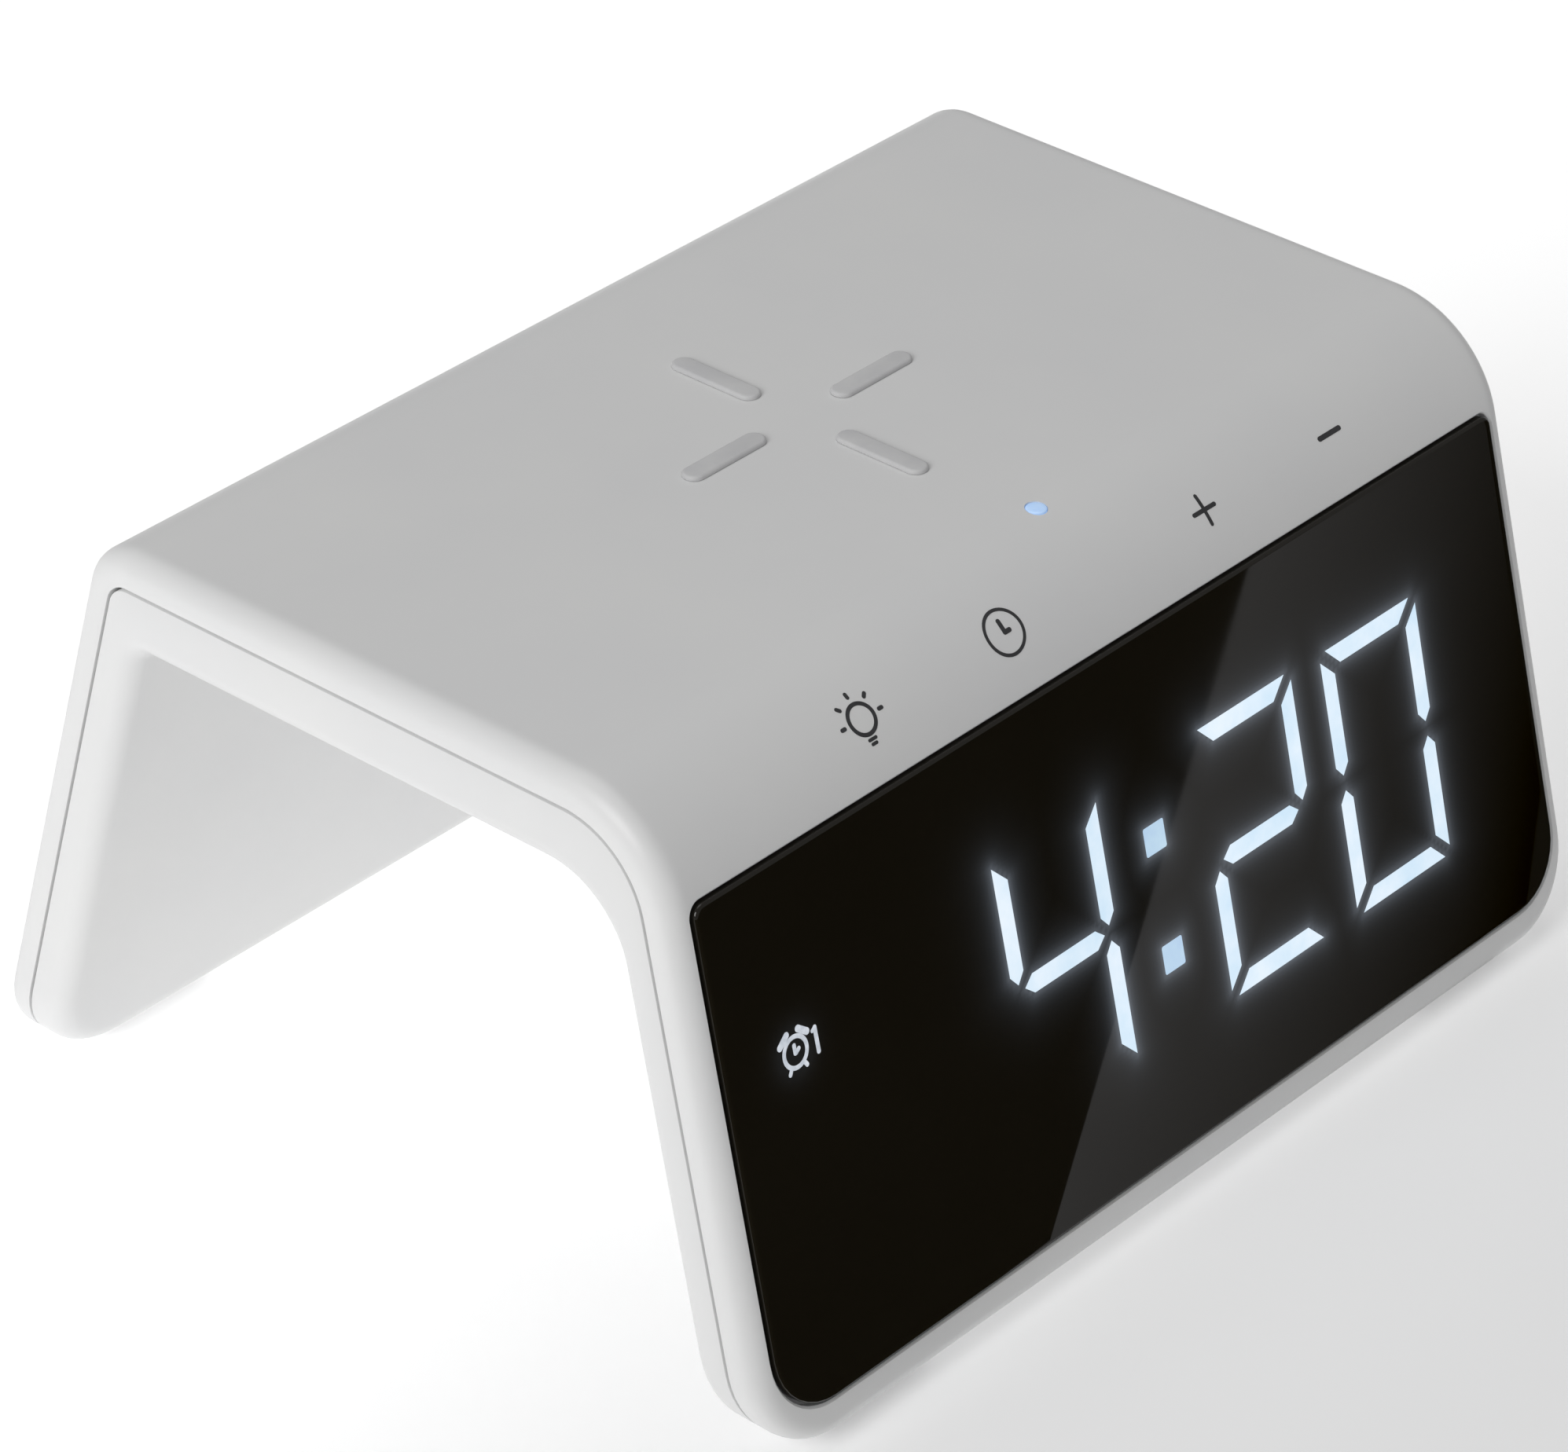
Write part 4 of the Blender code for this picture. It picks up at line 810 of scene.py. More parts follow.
@dataclass
class Casing:
    """White bridge casing: an outer shell, an inner shell and the battery door."""

    width: float = 120.0
    depth: float = 100.0
    height: float = 64.4
    ground_gap: float = 1.3
    front_tilt: float = math.radians(13.1)
    back_tilt: float = math.radians(15.6)
    side_draft: float = math.radians(1.0)
    leg_thickness: float = 7.8
    shelf_thickness: float = 10.1
    outer_bends: Pair = (13.0, 6.0)
    inner_bends: Pair = (9.0, 2.0)
    leg_corner: float = 9.0
    rounding: float = 2.2
    wall: float = 1.6
    end_wall: float = 1.8
    seam: float = 3.5
    gap: float = 0.3
    support: float = 0.5
    level_rise: float = 3.5
    corner_steps: int = 12
    bend_steps: tuple[int, int] = (30, 18)
    edge_steps: int = 8
    grille_z: float = 28.0
    grille_rows: int = 5
    grille_pitch: float = 3.6
    grille_radius: float = 11.0
    slot_half: float = 0.8
    slot_ease: float = 0.25
    door_start: float = 29.0
    door_y: float = 0.5
    door_half: float = 11.0
    recess_radius: float = 2.5
    groove_x: float = 47.4
    groove_pitch: float = 2.0
    grooves: int = 4

    def leg(self, front: bool) -> Leg:
        """Front or back leg's outer plane.

        The plane meets the ground gap's level a little outside the overall depth, because
        the rounded bottom edge stays short of the sharp corner.

        Args:
            front: whether it is the front leg.

        Returns:
            The plane.
        """
        tilt = self.front_tilt if front else self.back_tilt
        side = -1.0 if front else 1.0
        pull = self.rounding * (1.0 - math.tan(math.radians(45.0) - tilt / 2.0))
        return Leg(side * (self.depth / 2.0 + pull), self.ground_gap, tilt, side)

    @property
    def underside(self) -> float:
        """Height of the shelf's underside."""
        return self.height - self.shelf_thickness

    def bend_centre(self, front: bool, leg_depth: float, shelf_depth: float,
                    radius: float) -> Pair:
        """Centre of a bend that touches a leg's plane and the shelf's plane."""
        z = self.height - shelf_depth - radius
        return self.leg(front).y_at(leg_depth + radius, z), z

    def path(self, inner: bool, inset: float) -> Path:
        """Side view path of the outer or the inner surface, from foot to foot.

        The rows climb the front leg, turn through the front bend by the cosine and sine of
        a growing angle, cross the shelf, and go down the back leg in the same way. In the
        corner rows the height is the corner's centre less its radius times the sine of an
        angle, and the half width follows the cosine. The way into the wall has unit depth:
        it is level at the foot and square to the surface from the bend on.

        Args:
            inner: whether the path follows the inner surface.
            inset: distance of the outermost row from the casing's outline.

        Returns:
            The rows.
        """
        leg_depth = self.leg_thickness if inner else 0.0
        shelf_depth = self.shelf_thickness if inner else 0.0
        bends = self.inner_bends if inner else self.outer_bends
        corner_top = self.ground_gap + self.leg_corner
        turn = np.linspace(math.pi / 2.0, 0.0, self.corner_steps + 1)
        corner_z = corner_top - (self.leg_corner - inset) * np.sin(turn)
        level_top = corner_top + self.level_rise
        halves = []
        for front, radius, steps in zip((True, False), bends, self.bend_steps):
            leg = self.leg(front)
            y_c, z_c = self.bend_centre(front, leg_depth, shelf_depth, radius)
            z_t = z_c + radius * math.sin(leg.tilt)
            climb = np.concatenate([corner_z, [corner_top + self.support, level_top,
                                               z_t - self.support, z_t]])
            y = leg.y_at(leg_depth, 0.0) - leg.side * climb * math.tan(leg.tilt)
            slide = np.clip((z_t - climb) / (z_t - level_top), 0.0, 1.0) * math.tan(leg.tilt)
            out_y = leg.side * math.cos(leg.tilt)
            out_z = math.sin(leg.tilt)
            climb_y = -leg.side * math.sin(leg.tilt)
            climb_z = math.cos(leg.tilt)
            way = np.column_stack([-out_y + slide * climb_y, -out_z + slide * climb_z])
            angle = np.linspace(leg.tilt, math.pi / 2.0, steps + 1)[1:]
            arm = np.column_stack([leg.side * np.cos(angle), np.sin(angle)])
            bend = np.array([y_c, z_c]) + radius * arm
            last = np.array([[y_c - leg.side * self.support, z_c + radius]])
            points = np.vstack([np.column_stack([y, climb]), bend, last])
            ways = np.vstack([way, -arm, [[0.0, -1.0]]])
            cosine = np.concatenate([np.cos(turn), np.full(len(points) - len(turn), np.nan)])
            halves.append((points, ways, cosine))
        front_half, back_half = halves
        points = np.vstack([front_half[0], back_half[0][::-1]])
        ways = np.vstack([front_half[1], back_half[1][::-1]])
        cosine = np.concatenate([front_half[2], back_half[2][::-1]])
        return Path(points, -ways if inner else ways, cosine)

    def ring(self, path: Path, depth: float, inset: float) -> Array:
        """Closed ring of points round the casing at a depth and an inset.

        The half width leans inwards with height by the side draft, and in the corner rows
        it is the corner centre's X plus the corner radius times the cosine.

        Args:
            path: the rows that it follows.
            depth: distance into the wall.
            inset: distance from the casing's outline.

        Returns:
            The left points from the front foot to the back foot, then the right ones back.
        """
        spot = path.points + path.inward * depth
        lean = (self.leg_corner - (spot[:, 1] - self.ground_gap)) * math.tan(self.side_draft)
        straight = self.width / 2.0 + lean - inset
        centre = self.width / 2.0 - self.leg_corner
        corner = centre + (self.leg_corner - inset) * path.corner_cosine
        half = np.where(np.isnan(path.corner_cosine), straight, corner)
        left = np.column_stack([-half, spot])
        right = np.column_stack([half, spot])
        return np.vstack([left, right[::-1]])

    def edge_profile(self) -> list[Pair]:
        """Insets and depths of the rounded edge: a quarter circle between two flats.

        Returns:
            Pairs of inset and depth, from the face to the rim.
        """
        turn = np.linspace(0.0, math.pi / 2.0, self.edge_steps + 1)
        arc = np.column_stack([1.0 - np.sin(turn), 1.0 - np.cos(turn)]) * self.rounding
        flat = [(self.rounding + self.support, 0.0)]
        rim = [(0.0, self.rounding + self.gap)]
        return flat + [tuple(row) for row in arc.tolist()] + rim

    def shell(self, inner: bool) -> Solid:
        """Thin solid of one shell, before its openings are cut.

        Rings run from the visible face over the rounded edge to the seam, into the casing
        along the seam, and back up inside the wall. The first and the last ring are closed
        by rows of quads across the casing.

        Args:
            inner: whether this is the shell between the legs.

        Returns:
            The solid.
        """
        rings = [self.ring(self.path(inner, inset), depth, inset)
                 for inset, depth in self.edge_profile()]
        side = self.gap / 2.0 if inner else -self.gap / 2.0
        lip = self.seam + side
        ease = 0.1 if inner else -0.1
        for inset, depth in ((0.0, lip + ease), (0.03, lip + 0.3 * ease), (0.1, lip),
                             (self.end_wall, lip)):
            rings.append(self.ring(self.path(False, inset), depth, inset))
        rings.append(self.ring(self.path(inner, self.end_wall), self.wall, self.end_wall))
        solid = lofted(np.array(rings))
        count = len(rings[0])
        rows = count // 2
        faces = solid.faces[:-2]
        row = np.arange(rows - 1)
        for start in (0, (len(rings) - 1) * count):
            across = np.stack([row, row + 1, count - 2 - row, count - 1 - row], axis=1) + start
            faces += [tuple(quad) for quad in across.tolist()]
        return Solid(solid.points, faces)

    def foot_pockets(self) -> Solid:
        """Cutter for the four pockets that hold the feet.

        Returns:
            The cutter.
        """
        below, top = -2.0, 2.4
        solids = []
        for node in nodes_named("foot_"):
            box = NodeBox.of(node)
            pad = slab(box.half, (box.half[1] * ROUND_END,) * 4,
                       [(self.gap, below), (self.gap, top)])
            solids.append(pad.placed(box.spot))
        return joined(solids)

    def build(self) -> None:
        """Build and dress the two shells and the door."""
        self.build_outer()
        self.build_inner()

    def build_outer(self) -> None:
        """Outer shell with the glass pocket, the grille, the inlet and the pin's hole."""
        shell = make_object("casing_outer", self.shell(False))
        glass = Window()
        ledge, flare, floor, reach = 2.2, 0.22, -1.1, 3.0
        pocket = slab(glass.half(), glass.radii(),
                      [(self.gap - ledge, -reach), (self.gap - ledge, floor),
                       (self.gap, floor), (self.gap, -flare), (self.gap + flare, 0.0),
                       (self.gap + flare + reach, reach)],
                      self.side_draft).placed(glass.place())
        combine(shell, pocket, "DIFFERENCE")
        self.part_rows(shell)
        combine(shell, self.grille(), "DIFFERENCE")
        combine(shell, self.small_openings(), "DIFFERENCE")
        combine(shell, self.foot_pockets(), "DIFFERENCE")
        dress(shell, FINISHES["casing_white"], "casing", "casing_white", "outer_shell")

    def grille_place(self) -> Matrix:
        """Frame at the grille's middle on the back leg."""
        return self.leg(False).frame(-1.0, self.grille_z)

    def part_rows(self, shell: bpy.types.Object) -> None:
        """Edge loops on the back leg between the grille's slots, for clean cuts.

        Args:
            shell: the outer shell before its grille is cut.
        """
        back_leg_from = 0.02
        place = self.grille_place()
        up = place.to_3x3() @ Vector((0.0, 1.0, 0.0))
        work = bmesh.new()
        work.from_mesh(shell.data)
        steps = np.arange(self.grille_rows + 1) - self.grille_rows / 2.0
        for level in steps * self.grille_pitch:
            faces = [face for face in work.faces
                     if face.calc_center_median().y > back_leg_from]
            edges = {edge for face in faces for edge in face.edges}
            verts = {vert for face in faces for vert in face.verts}
            spot = (place @ Vector((0.0, level, 0.0))) * MM
            bmesh.ops.bisect_plane(work, geom=[*verts, *edges, *faces], plane_co=spot,
                                   plane_no=up)
        work.to_mesh(shell.data)
        work.free()

    def grille(self) -> Solid:
        """Cutter for the loudspeaker's slots: round-ended, in the outline of a circle.

        A slot's half length is the side of a right triangle whose other side is the slot's
        level and whose longest side is the grille's radius.

        Returns:
            The cutter.
        """
        through, above, ease = -3.0, 1.0, self.slot_ease
        place = self.grille_place()
        solids = []
        steps = np.arange(self.grille_rows) - (self.grille_rows - 1) / 2.0
        for level in steps * self.grille_pitch:
            long_half = math.sqrt(self.grille_radius ** 2 - level ** 2)
            slot = slab((long_half, self.slot_half), (self.slot_half * ROUND_END,) * 4,
                        [(0.0, through), (0.0, -ease), (ease, 0.0), (ease + above, above)])
            solids.append(slot.placed(place @ Matrix.Translation((0.0, level, 0.0))))
        return joined(solids)

    def small_openings(self) -> Solid:
        """Cutter for the inlet's slot and the indicator's hole.

        Returns:
            The cutter.
        """
        inlet_depth, beyond, round_part = -4.0, 8.0, 0.97
        hole_play, hole_depth, above = 0.08, 4.0, 1.0
        box = NodeBox.of("power_inlet")
        low, high = box.low, box.high
        middle = (low + high) / 2.0
        half = ((high.x - low.x) / 2.0 + self.gap, (high.z - low.z) / 2.0 + self.gap)
        turn = Matrix(((-1.0, 0.0, 0.0), (0.0, 0.0, 1.0), (0.0, 1.0, 0.0))).to_4x4()
        place = Matrix.Translation((middle.x, high.y, middle.z)) @ turn
        inlet = slab(half, (half[1] * round_part,) * 4,
                     [(0.0, inlet_depth), (0.0, beyond)]).placed(place)
        pin = NodeBox.of("indicator_lens")
        hole = round_pin(pin.half[0] + hole_play, self.height - hole_depth,
                         self.height + above, pin.spot)
        return joined([inlet, hole])

    def door_way(self, grow: float, low_x: float) -> Solid:
        """Box of the door below the shelf, grown sideways by a gap.

        Args:
            grow: the gap.
            low_x: the box's left end.

        Returns:
            The box.
        """
        half = self.door_half + grow
        below, above = 3.0, 1.7
        return box_slab((low_x, self.door_y - half, self.underside - below),
                        (self.width, self.door_y + half, self.underside + self.wall + above))

    def build_inner(self) -> None:
        """Inner shell with its screw recesses, and the door cut out of its right end."""
        shell = make_object("casing_inner", self.shell(True))
        door = shell.copy()
        door.data = shell.data.copy()
        door.name = "battery_door_cover"
        bpy.context.scene.collection.objects.link(door)
        below, above = 2.0, 0.6
        recesses = [round_pin(self.recess_radius, self.underside - below,
                              self.underside + self.wall + above, NodeBox.of(node).spot)
                    for node in frame["nodes"] if node.startswith("case_screw")]
        combine(shell, joined(recesses), "DIFFERENCE")
        combine(shell, self.door_way(self.gap, self.door_start - self.gap), "DIFFERENCE")
        combine(shell, self.foot_pockets(), "DIFFERENCE")
        dress(shell, FINISHES["casing_white"], "casing", "casing_white", "inner_shell")
        self.build_door(door)

    def build_door(self, door: bpy.types.Object) -> None:
        """Trim the door from the shell's wall, add its flanges and cut its grip.

        Args:
            door: a copy of the whole inner shell.
        """
        combine(door, self.door_way(0.0, self.door_start), "INTERSECT")
        box = NodeBox.of("battery_door")
        near, far = box.low.y, box.high.y
        inside = self.underside + self.wall
        runner_end, runner_top = 56.5, 0.98
        web_end, web_inset, web_sink, web_top = 56.0, 1.9, 0.4, 0.6
        runner = box_slab((self.door_start, near, inside + self.gap),
                          (runner_end, far, inside + runner_top))
        web = box_slab((self.door_start + web_sink, near + web_inset, inside - web_sink),
                       (web_end, far - web_inset, inside + web_top))
        combine(door, web, "UNION")
        combine(door, runner, "UNION")
        groove_half, groove_radius = (0.42, 6.0), 0.4
        groove_layers = [(0.35, -2.0), (0.35, 0.0), (0.0, 0.12), (-0.1, 0.42)]
        grooves = []
        for index in range(self.grooves):
            groove = slab(groove_half, (groove_radius,) * 4, groove_layers, steps=6)
            spot = Matrix.Translation((self.groove_x + self.groove_pitch * index, self.door_y,
                                       self.underside))
            grooves.append(groove.placed(spot))
        combine(door, joined(grooves), "DIFFERENCE")
        dress(door, FINISHES["door_white"], "door", "door_white", "battery_door")


# ---------------------------------------------------------------------------
# Display
# ---------------------------------------------------------------------------

class Segment(Enum):
    """The seven bars of a digit, with the ends of each bar in units of half a digit."""

    TOP = ((-1.0, 1.0), (1.0, 1.0))
    MIDDLE = ((-1.0, 0.0), (1.0, 0.0))
    BOTTOM = ((-1.0, -1.0), (1.0, -1.0))
    UPPER_LEFT = ((-1.0, 1.0), (-1.0, 0.0))
    UPPER_RIGHT = ((1.0, 1.0), (1.0, 0.0))
    LOWER_LEFT = ((-1.0, 0.0), (-1.0, -1.0))
    LOWER_RIGHT = ((1.0, 0.0), (1.0, -1.0))


LIT_BARS = {
    0: (Segment.TOP, Segment.BOTTOM, Segment.UPPER_LEFT, Segment.UPPER_RIGHT,
        Segment.LOWER_LEFT, Segment.LOWER_RIGHT),
    2: (Segment.TOP, Segment.MIDDLE, Segment.BOTTOM, Segment.UPPER_RIGHT,
        Segment.LOWER_LEFT),
    4: (Segment.MIDDLE, Segment.UPPER_LEFT, Segment.UPPER_RIGHT, Segment.LOWER_RIGHT),
}


@dataclass
class Window:
    """Black display window with the lit time behind it."""

    width: float = 115.0
    bottom_z: float = 5.4
    top_z: float = 55.0
    thickness: float = 1.1
    proud: float = 0.3
    chamfer: float = 0.35
    top_radius: float = 1.2
    bottom_radius: float = 6.5
    draft: float = math.radians(1.0)
    cell: float = 0.5
    digit_half: Pair = (6.42, 12.78)
    middle_level: float = 0.1
    split_gap: float = 0.78
    upright_half: float = 0.92
    level_half: float = 0.97
    mitre_gap: Pair = (0.95, 0.85)
    point_length: float = 1.2
    places: tuple[tuple[int, float, float], ...] = (
        (4, -13.3, -0.35), (2, 15.35, -0.65), (0, 34.45, -0.95))
    dots: tuple[Pair, ...] = ((1.0, 5.7), (0.95, -6.35))
    dot_half: float = 1.45
    alarm: Pair = (-48.15, 7.6)

    def place(self) -> Matrix:
        """Frame at the window's middle on the front leg."""
        return Casing().leg(True).frame(1.0, (self.bottom_z + self.top_z) / 2.0)

    def half(self) -> Pair:
        """Half width and half height in the leg's plane."""
        tall = (self.top_z - self.bottom_z) / 2.0 / math.cos(Casing().front_tilt)
        return self.width / 2.0, tall

    def radii(self) -> tuple[float, ...]:
        """Corner radii, low left first."""
        return (self.bottom_radius, self.bottom_radius, self.top_radius, self.top_radius)

    def sheet(self, inset: float, level: float) -> Array:
        """Grid of points that fills the window's outline.

        A row's height runs through both rounded corners by the sine of an angle and evenly
        between them, its half width is the outline's, and its columns are evenly spaced.

        Args:
            inset: distance inside the outline.
            level: height above the leg's plane.

        Returns:
            Array of rows, columns and coordinates.
        """
        wide, tall = self.half()
        turn = np.linspace(math.pi / 2.0, 0.0, 9)
        low = self.bottom_radius - inset
        high = max(self.top_radius - inset, 0.2)
        low_y = -tall + inset + low * (1.0 - np.sin(turn))
        high_y = (tall - inset - high * (1.0 - np.sin(turn)))[::-1]
        count = int((high_y[0] - low_y[-1]) / self.cell)
        middle_y = np.linspace(low_y[-1], high_y[0], count + 1)[1:-1]
        y = np.concatenate([low_y, middle_y, high_y])
        pull = np.concatenate([low * (1.0 - np.cos(turn)), np.zeros(len(middle_y)),
                               (high * (1.0 - np.cos(turn)))[::-1]])
        lean = (y + tall) * math.tan(self.draft)
        half = wide - inset - pull - lean
        columns = int(2.0 * wide / self.cell)
        share = np.linspace(-1.0, 1.0, columns + 1)
        x = half[:, None] * share[None, :]
        return np.stack([x, np.broadcast_to(y[:, None], x.shape),
                         np.full(x.shape, level)], axis=-1)

    def plate(self) -> Solid:
        """Solid window: a fine front sheet, an eased edge, and a back.

        Each layer is the sheet's outline at an inset and a level. The eased edge is a
        quarter turn of the chamfer.

        Returns:
            The solid.
        """
        turn = np.linspace(0.0, math.pi / 2.0, 5)
        insets = self.chamfer * (1.0 - np.sin(turn))
        levels = self.proud - self.chamfer * (1.0 - np.cos(turn))
        front = self.sheet(self.chamfer, self.proud)
        rows, columns, _ = front.shape
        index = np.arange(rows * columns).reshape(rows, columns)
        border = np.concatenate([index[0, :-1], index[:-1, -1], index[-1, :0:-1],
                                 index[:0:-1, 0]])
        corners = (index[:-1, :-1], index[:-1, 1:], index[1:, 1:], index[1:, :-1])
        quads = np.stack(corners, axis=-1).reshape(-1, 4)
        faces = [tuple(quad) for quad in quads.tolist()]
        layers = list(zip(insets[1:], levels[1:])) + [(0.0, self.proud - self.thickness)]
        points = [front.reshape(-1, 3)]
        before = border
        start = rows * columns
        for inset, level in layers:
            points.append(self.sheet(inset, level).reshape(-1, 3)[border])
            now = np.arange(start, start + len(border))
            quads = np.stack([before, np.roll(before, -1), np.roll(now, -1), now], axis=1)
            faces += [tuple(quad) for quad in quads.tolist()]
            before = now
            start += len(border)
        faces.append(tuple(before.tolist()))
        return Solid(np.vstack(points), faces)

    def bar_outline(self, bar: Segment) -> Array:
        """Outline of one bar: straight sides, mitred at a corner, pointed at the middle.

        Each end is three points, on the outer side, on the centre line and on the inner
        side. At a digit's corner they lie on a diagonal, and at its middle they come to a
        point.

        Args:
            bar: the bar.

        Returns:
            Six points round the bar, for a digit at the origin.
        """
        wide, tall = self.digit_half
        upright = bar.value[0][0] == bar.value[1][0]
        half = self.upright_half if upright else self.level_half
        ends = np.array(bar.value) * np.array([wide, tall])
        if bar is Segment.MIDDLE:
            ends[:, 1] += self.middle_level
        along = (ends[1] - ends[0]) / np.linalg.norm(ends[1] - ends[0])
        outward = np.array([-along[1], along[0]])
        if bar is not Segment.MIDDLE and np.dot(outward, ends.mean(axis=0)) < 0.0:
            outward = -outward
        tips = []
        for end, way in ((ends[0], -along), (ends[1], along)):
            if abs(end[1]) > tall / 2.0:
                tip = end - way * self.mitre_gap[int(upright)]
                outer = tip + outward * half + way * half
                inner = tip - (outward + way) * half
            else:
                tip = end - way * self.split_gap
                back = way * half * self.point_length
                outer = tip + outward * half - back
                inner = tip - outward * half - back
            tips.append((outer, tip, inner))
        (a_out, a_tip, a_in), (b_out, b_tip, b_in) = tips
        return np.array([a_in, a_tip, a_out, b_out, b_tip, b_in])

    def lit_outlines(self) -> list[Array]:
        """Outlines of every lit bar, at their places on the window."""
        return [self.bar_outline(bar) + np.array([x, level])
                for digit, x, level in self.places for bar in LIT_BARS[digit]]

    def dot_outlines(self) -> list[Array]:
        """Outlines of the colon's two dots."""
        box = rounded_box((self.dot_half, self.dot_half), (0.2,) * 4, steps=3)
        return [box + np.array(dot) for dot in self.dots]

    def painted_glow_at(self, spots: Array) -> Array:
        """Painted glow at points of the window, standing in for the digits' light spilling into
        the glass.

        It falls off as the exponential of minus the distance to the nearest lit outline,
        with a long faint tail.

        Args:
            spots: points as rows of x and y.

        Returns:
            The painted glow of each point.
        """
        # Painted glow close to the lit outlines, its long faint tail, and a faint painted glow
        # round the alarm sign.
        close, close_reach = 0.11, 0.55
        tail, tail_reach = 0.035, 1.8
        icon, icon_reach, icon_radius = 0.0105, 0.9, 2.2
        outlines = self.lit_outlines() + self.dot_outlines()
        start = np.vstack(outlines)[None, :, :]
        side = np.vstack([np.roll(line, -1, axis=0) for line in outlines])[None, :, :] - start
        reach = spots[:, None, :] - start
        share = np.clip((reach * side).sum(-1) / (side ** 2).sum(-1), 0.0, 1.0)
        nearest = np.linalg.norm(reach - share[..., None] * side, axis=-1).min(axis=1)
        beyond = np.linalg.norm(spots - np.array(self.alarm), axis=1) - icon_radius
        return (close * np.exp(-nearest / close_reach) + tail * np.exp(-nearest / tail_reach)
                + icon * np.exp(-np.maximum(beyond, 0.0) / icon_reach))

    def build(self) -> None:
        """Build and dress the window, its lit bars, its dots and its alarm sign."""
        pane = make_object("display_window", self.plate().placed(self.place()))
        dress(pane, FINISHES["display_glass"], "casing", "display_glass", "display_glass")
        # Painted glow: emission on the window's face round the lit outlines, kept as a point
        # attribute.
        count = len(pane.data.vertices)
        spots = np.empty(count * 3)
        pane.data.vertices.foreach_get("co", spots)
        back = np.array(self.place().inverted())
        local = (spots.reshape(-1, 3) / MM) @ back[:3, :3].T + back[:3, 3]
        face = local[:, 2] > self.proud - self.chamfer / 7.0
        painted_glow = self.painted_glow_at(local[:, :2]) * face
        layer = pane.data.attributes.new("painted_glow", "FLOAT", "POINT")
        layer.data.foreach_set("value", painted_glow.astype(np.float32))

        levels = (self.proud - SIGN_SINK, self.proud + SIGN_RISE)
        groups = (("display_bars", self.lit_outlines(), LIT_DIGIT),
                  ("display_colon", self.dot_outlines(), LIT_DOT))
        for name, outlines, finish in groups:
            solids = [flat_sign(outline, levels) for outline in outlines]
            piece = make_object(name, joined(solids).placed(self.place()))
            dress(piece, finish, "casing", "display_glass")
        piece = make_object("display_alarm_sign", self.alarm_sign(levels).placed(self.place()))
        dress(piece, LIT_ICON, "casing", "display_glass")

    def alarm_sign(self, levels: Pair) -> Solid:
        """Small twin-bell alarm clock with the figure one beside it.

        Each stroke is given by its two ends and its half width.

        Args:
            levels: lower and upper level of the sign.

        Returns:
            The sign at its place on the window.
        """
        strokes = (((-0.05, 0.65), (-0.05, -0.1), 0.22), ((0.05, -0.1), (0.45, 0.15), 0.22),
                   ((-0.85, -1.35), (-1.1, -1.75), 0.22), ((0.85, -1.35), (1.1, -1.75), 0.22),
                   ((2.75, 1.1), (2.75, -1.25), 0.24), ((2.75, 1.1), (2.4, 0.9), 0.2),
                   ((-0.75, 1.95), (-1.75, 1.2), 0.34), ((0.75, 1.95), (1.75, 1.2), 0.34))
        solids = [flat_ring(1.45, 0.22, levels)]
        solids += [stroke(start, end, half, levels) for start, end, half in strokes]
        return joined(solids).placed(Matrix.Translation((*self.alarm, 0.0)))


# ---------------------------------------------------------------------------
# Signs
# ---------------------------------------------------------------------------

def stroke(start: Pair, end: Pair, half: float, levels: Pair) -> Solid:
    """Thin solid of a round-ended stroke.

    Its cross sections are four-point rings along its length. A section's half width is the
    stroke's between its two ends, and the side of a right triangle past them, so that both
    ends are half circles.

    Args:
        start: one end.
        end: the other end.
        half: half its thickness.
        levels: its lower and upper level.

    Returns:
        The solid.
    """
    one, two = np.array(start), np.array(end)
    length = float(np.linalg.norm(two - one))
    along = (two - one) / length
    side = np.array([-along[1], along[0]])
    turn = np.linspace(0.0, 0.495 * math.pi, 7)
    past = half * np.sin(turn)
    run = np.concatenate([-past[::-1], np.linspace(0.0, length, 9)[1:-1], length + past])
    wide = half * np.concatenate([np.cos(turn)[::-1], np.ones(7), np.cos(turn)])
    middle = one + run[:, None] * along
    left, right = middle - wide[:, None] * side, middle + wide[:, None] * side
    low, high = (np.full((len(run), 1), level) for level in levels)
    rings = np.stack([np.hstack([left, low]), np.hstack([right, low]),
                      np.hstack([right, high]), np.hstack([left, high])], axis=1)
    return lofted(rings)


def flat_sign(outline: Array, levels: Pair) -> Solid:
    """Thin solid of an outline between two levels.

    Args:
        outline: points of the outline in order.
        levels: its lower and upper level.

    Returns:
        The solid.
    """
    rings = np.array([np.column_stack([outline, np.full(len(outline), level)])
                      for level in levels])
    return lofted(rings)


def flat_ring(radius: float, half: float, levels: Pair) -> Solid:
    """Thin round band: four circles at its inner and outer radius and its two levels.

    Args:
        radius: radius of its middle.
        half: half its width.
        levels: its lower and upper level.

    Returns:
        The solid.
    """
    turn = np.linspace(0.0, 2.0 * math.pi, 56, endpoint=False)
    circle = np.column_stack([np.cos(turn), np.sin(turn)])
    rings = [np.column_stack([circle * size, np.full(len(turn), level)])
             for size, level in ((radius - half, levels[0]), (radius + half, levels[0]),
                                 (radius + half, levels[1]), (radius - half, levels[1]))]
    return lofted(np.array(rings), closed=True)


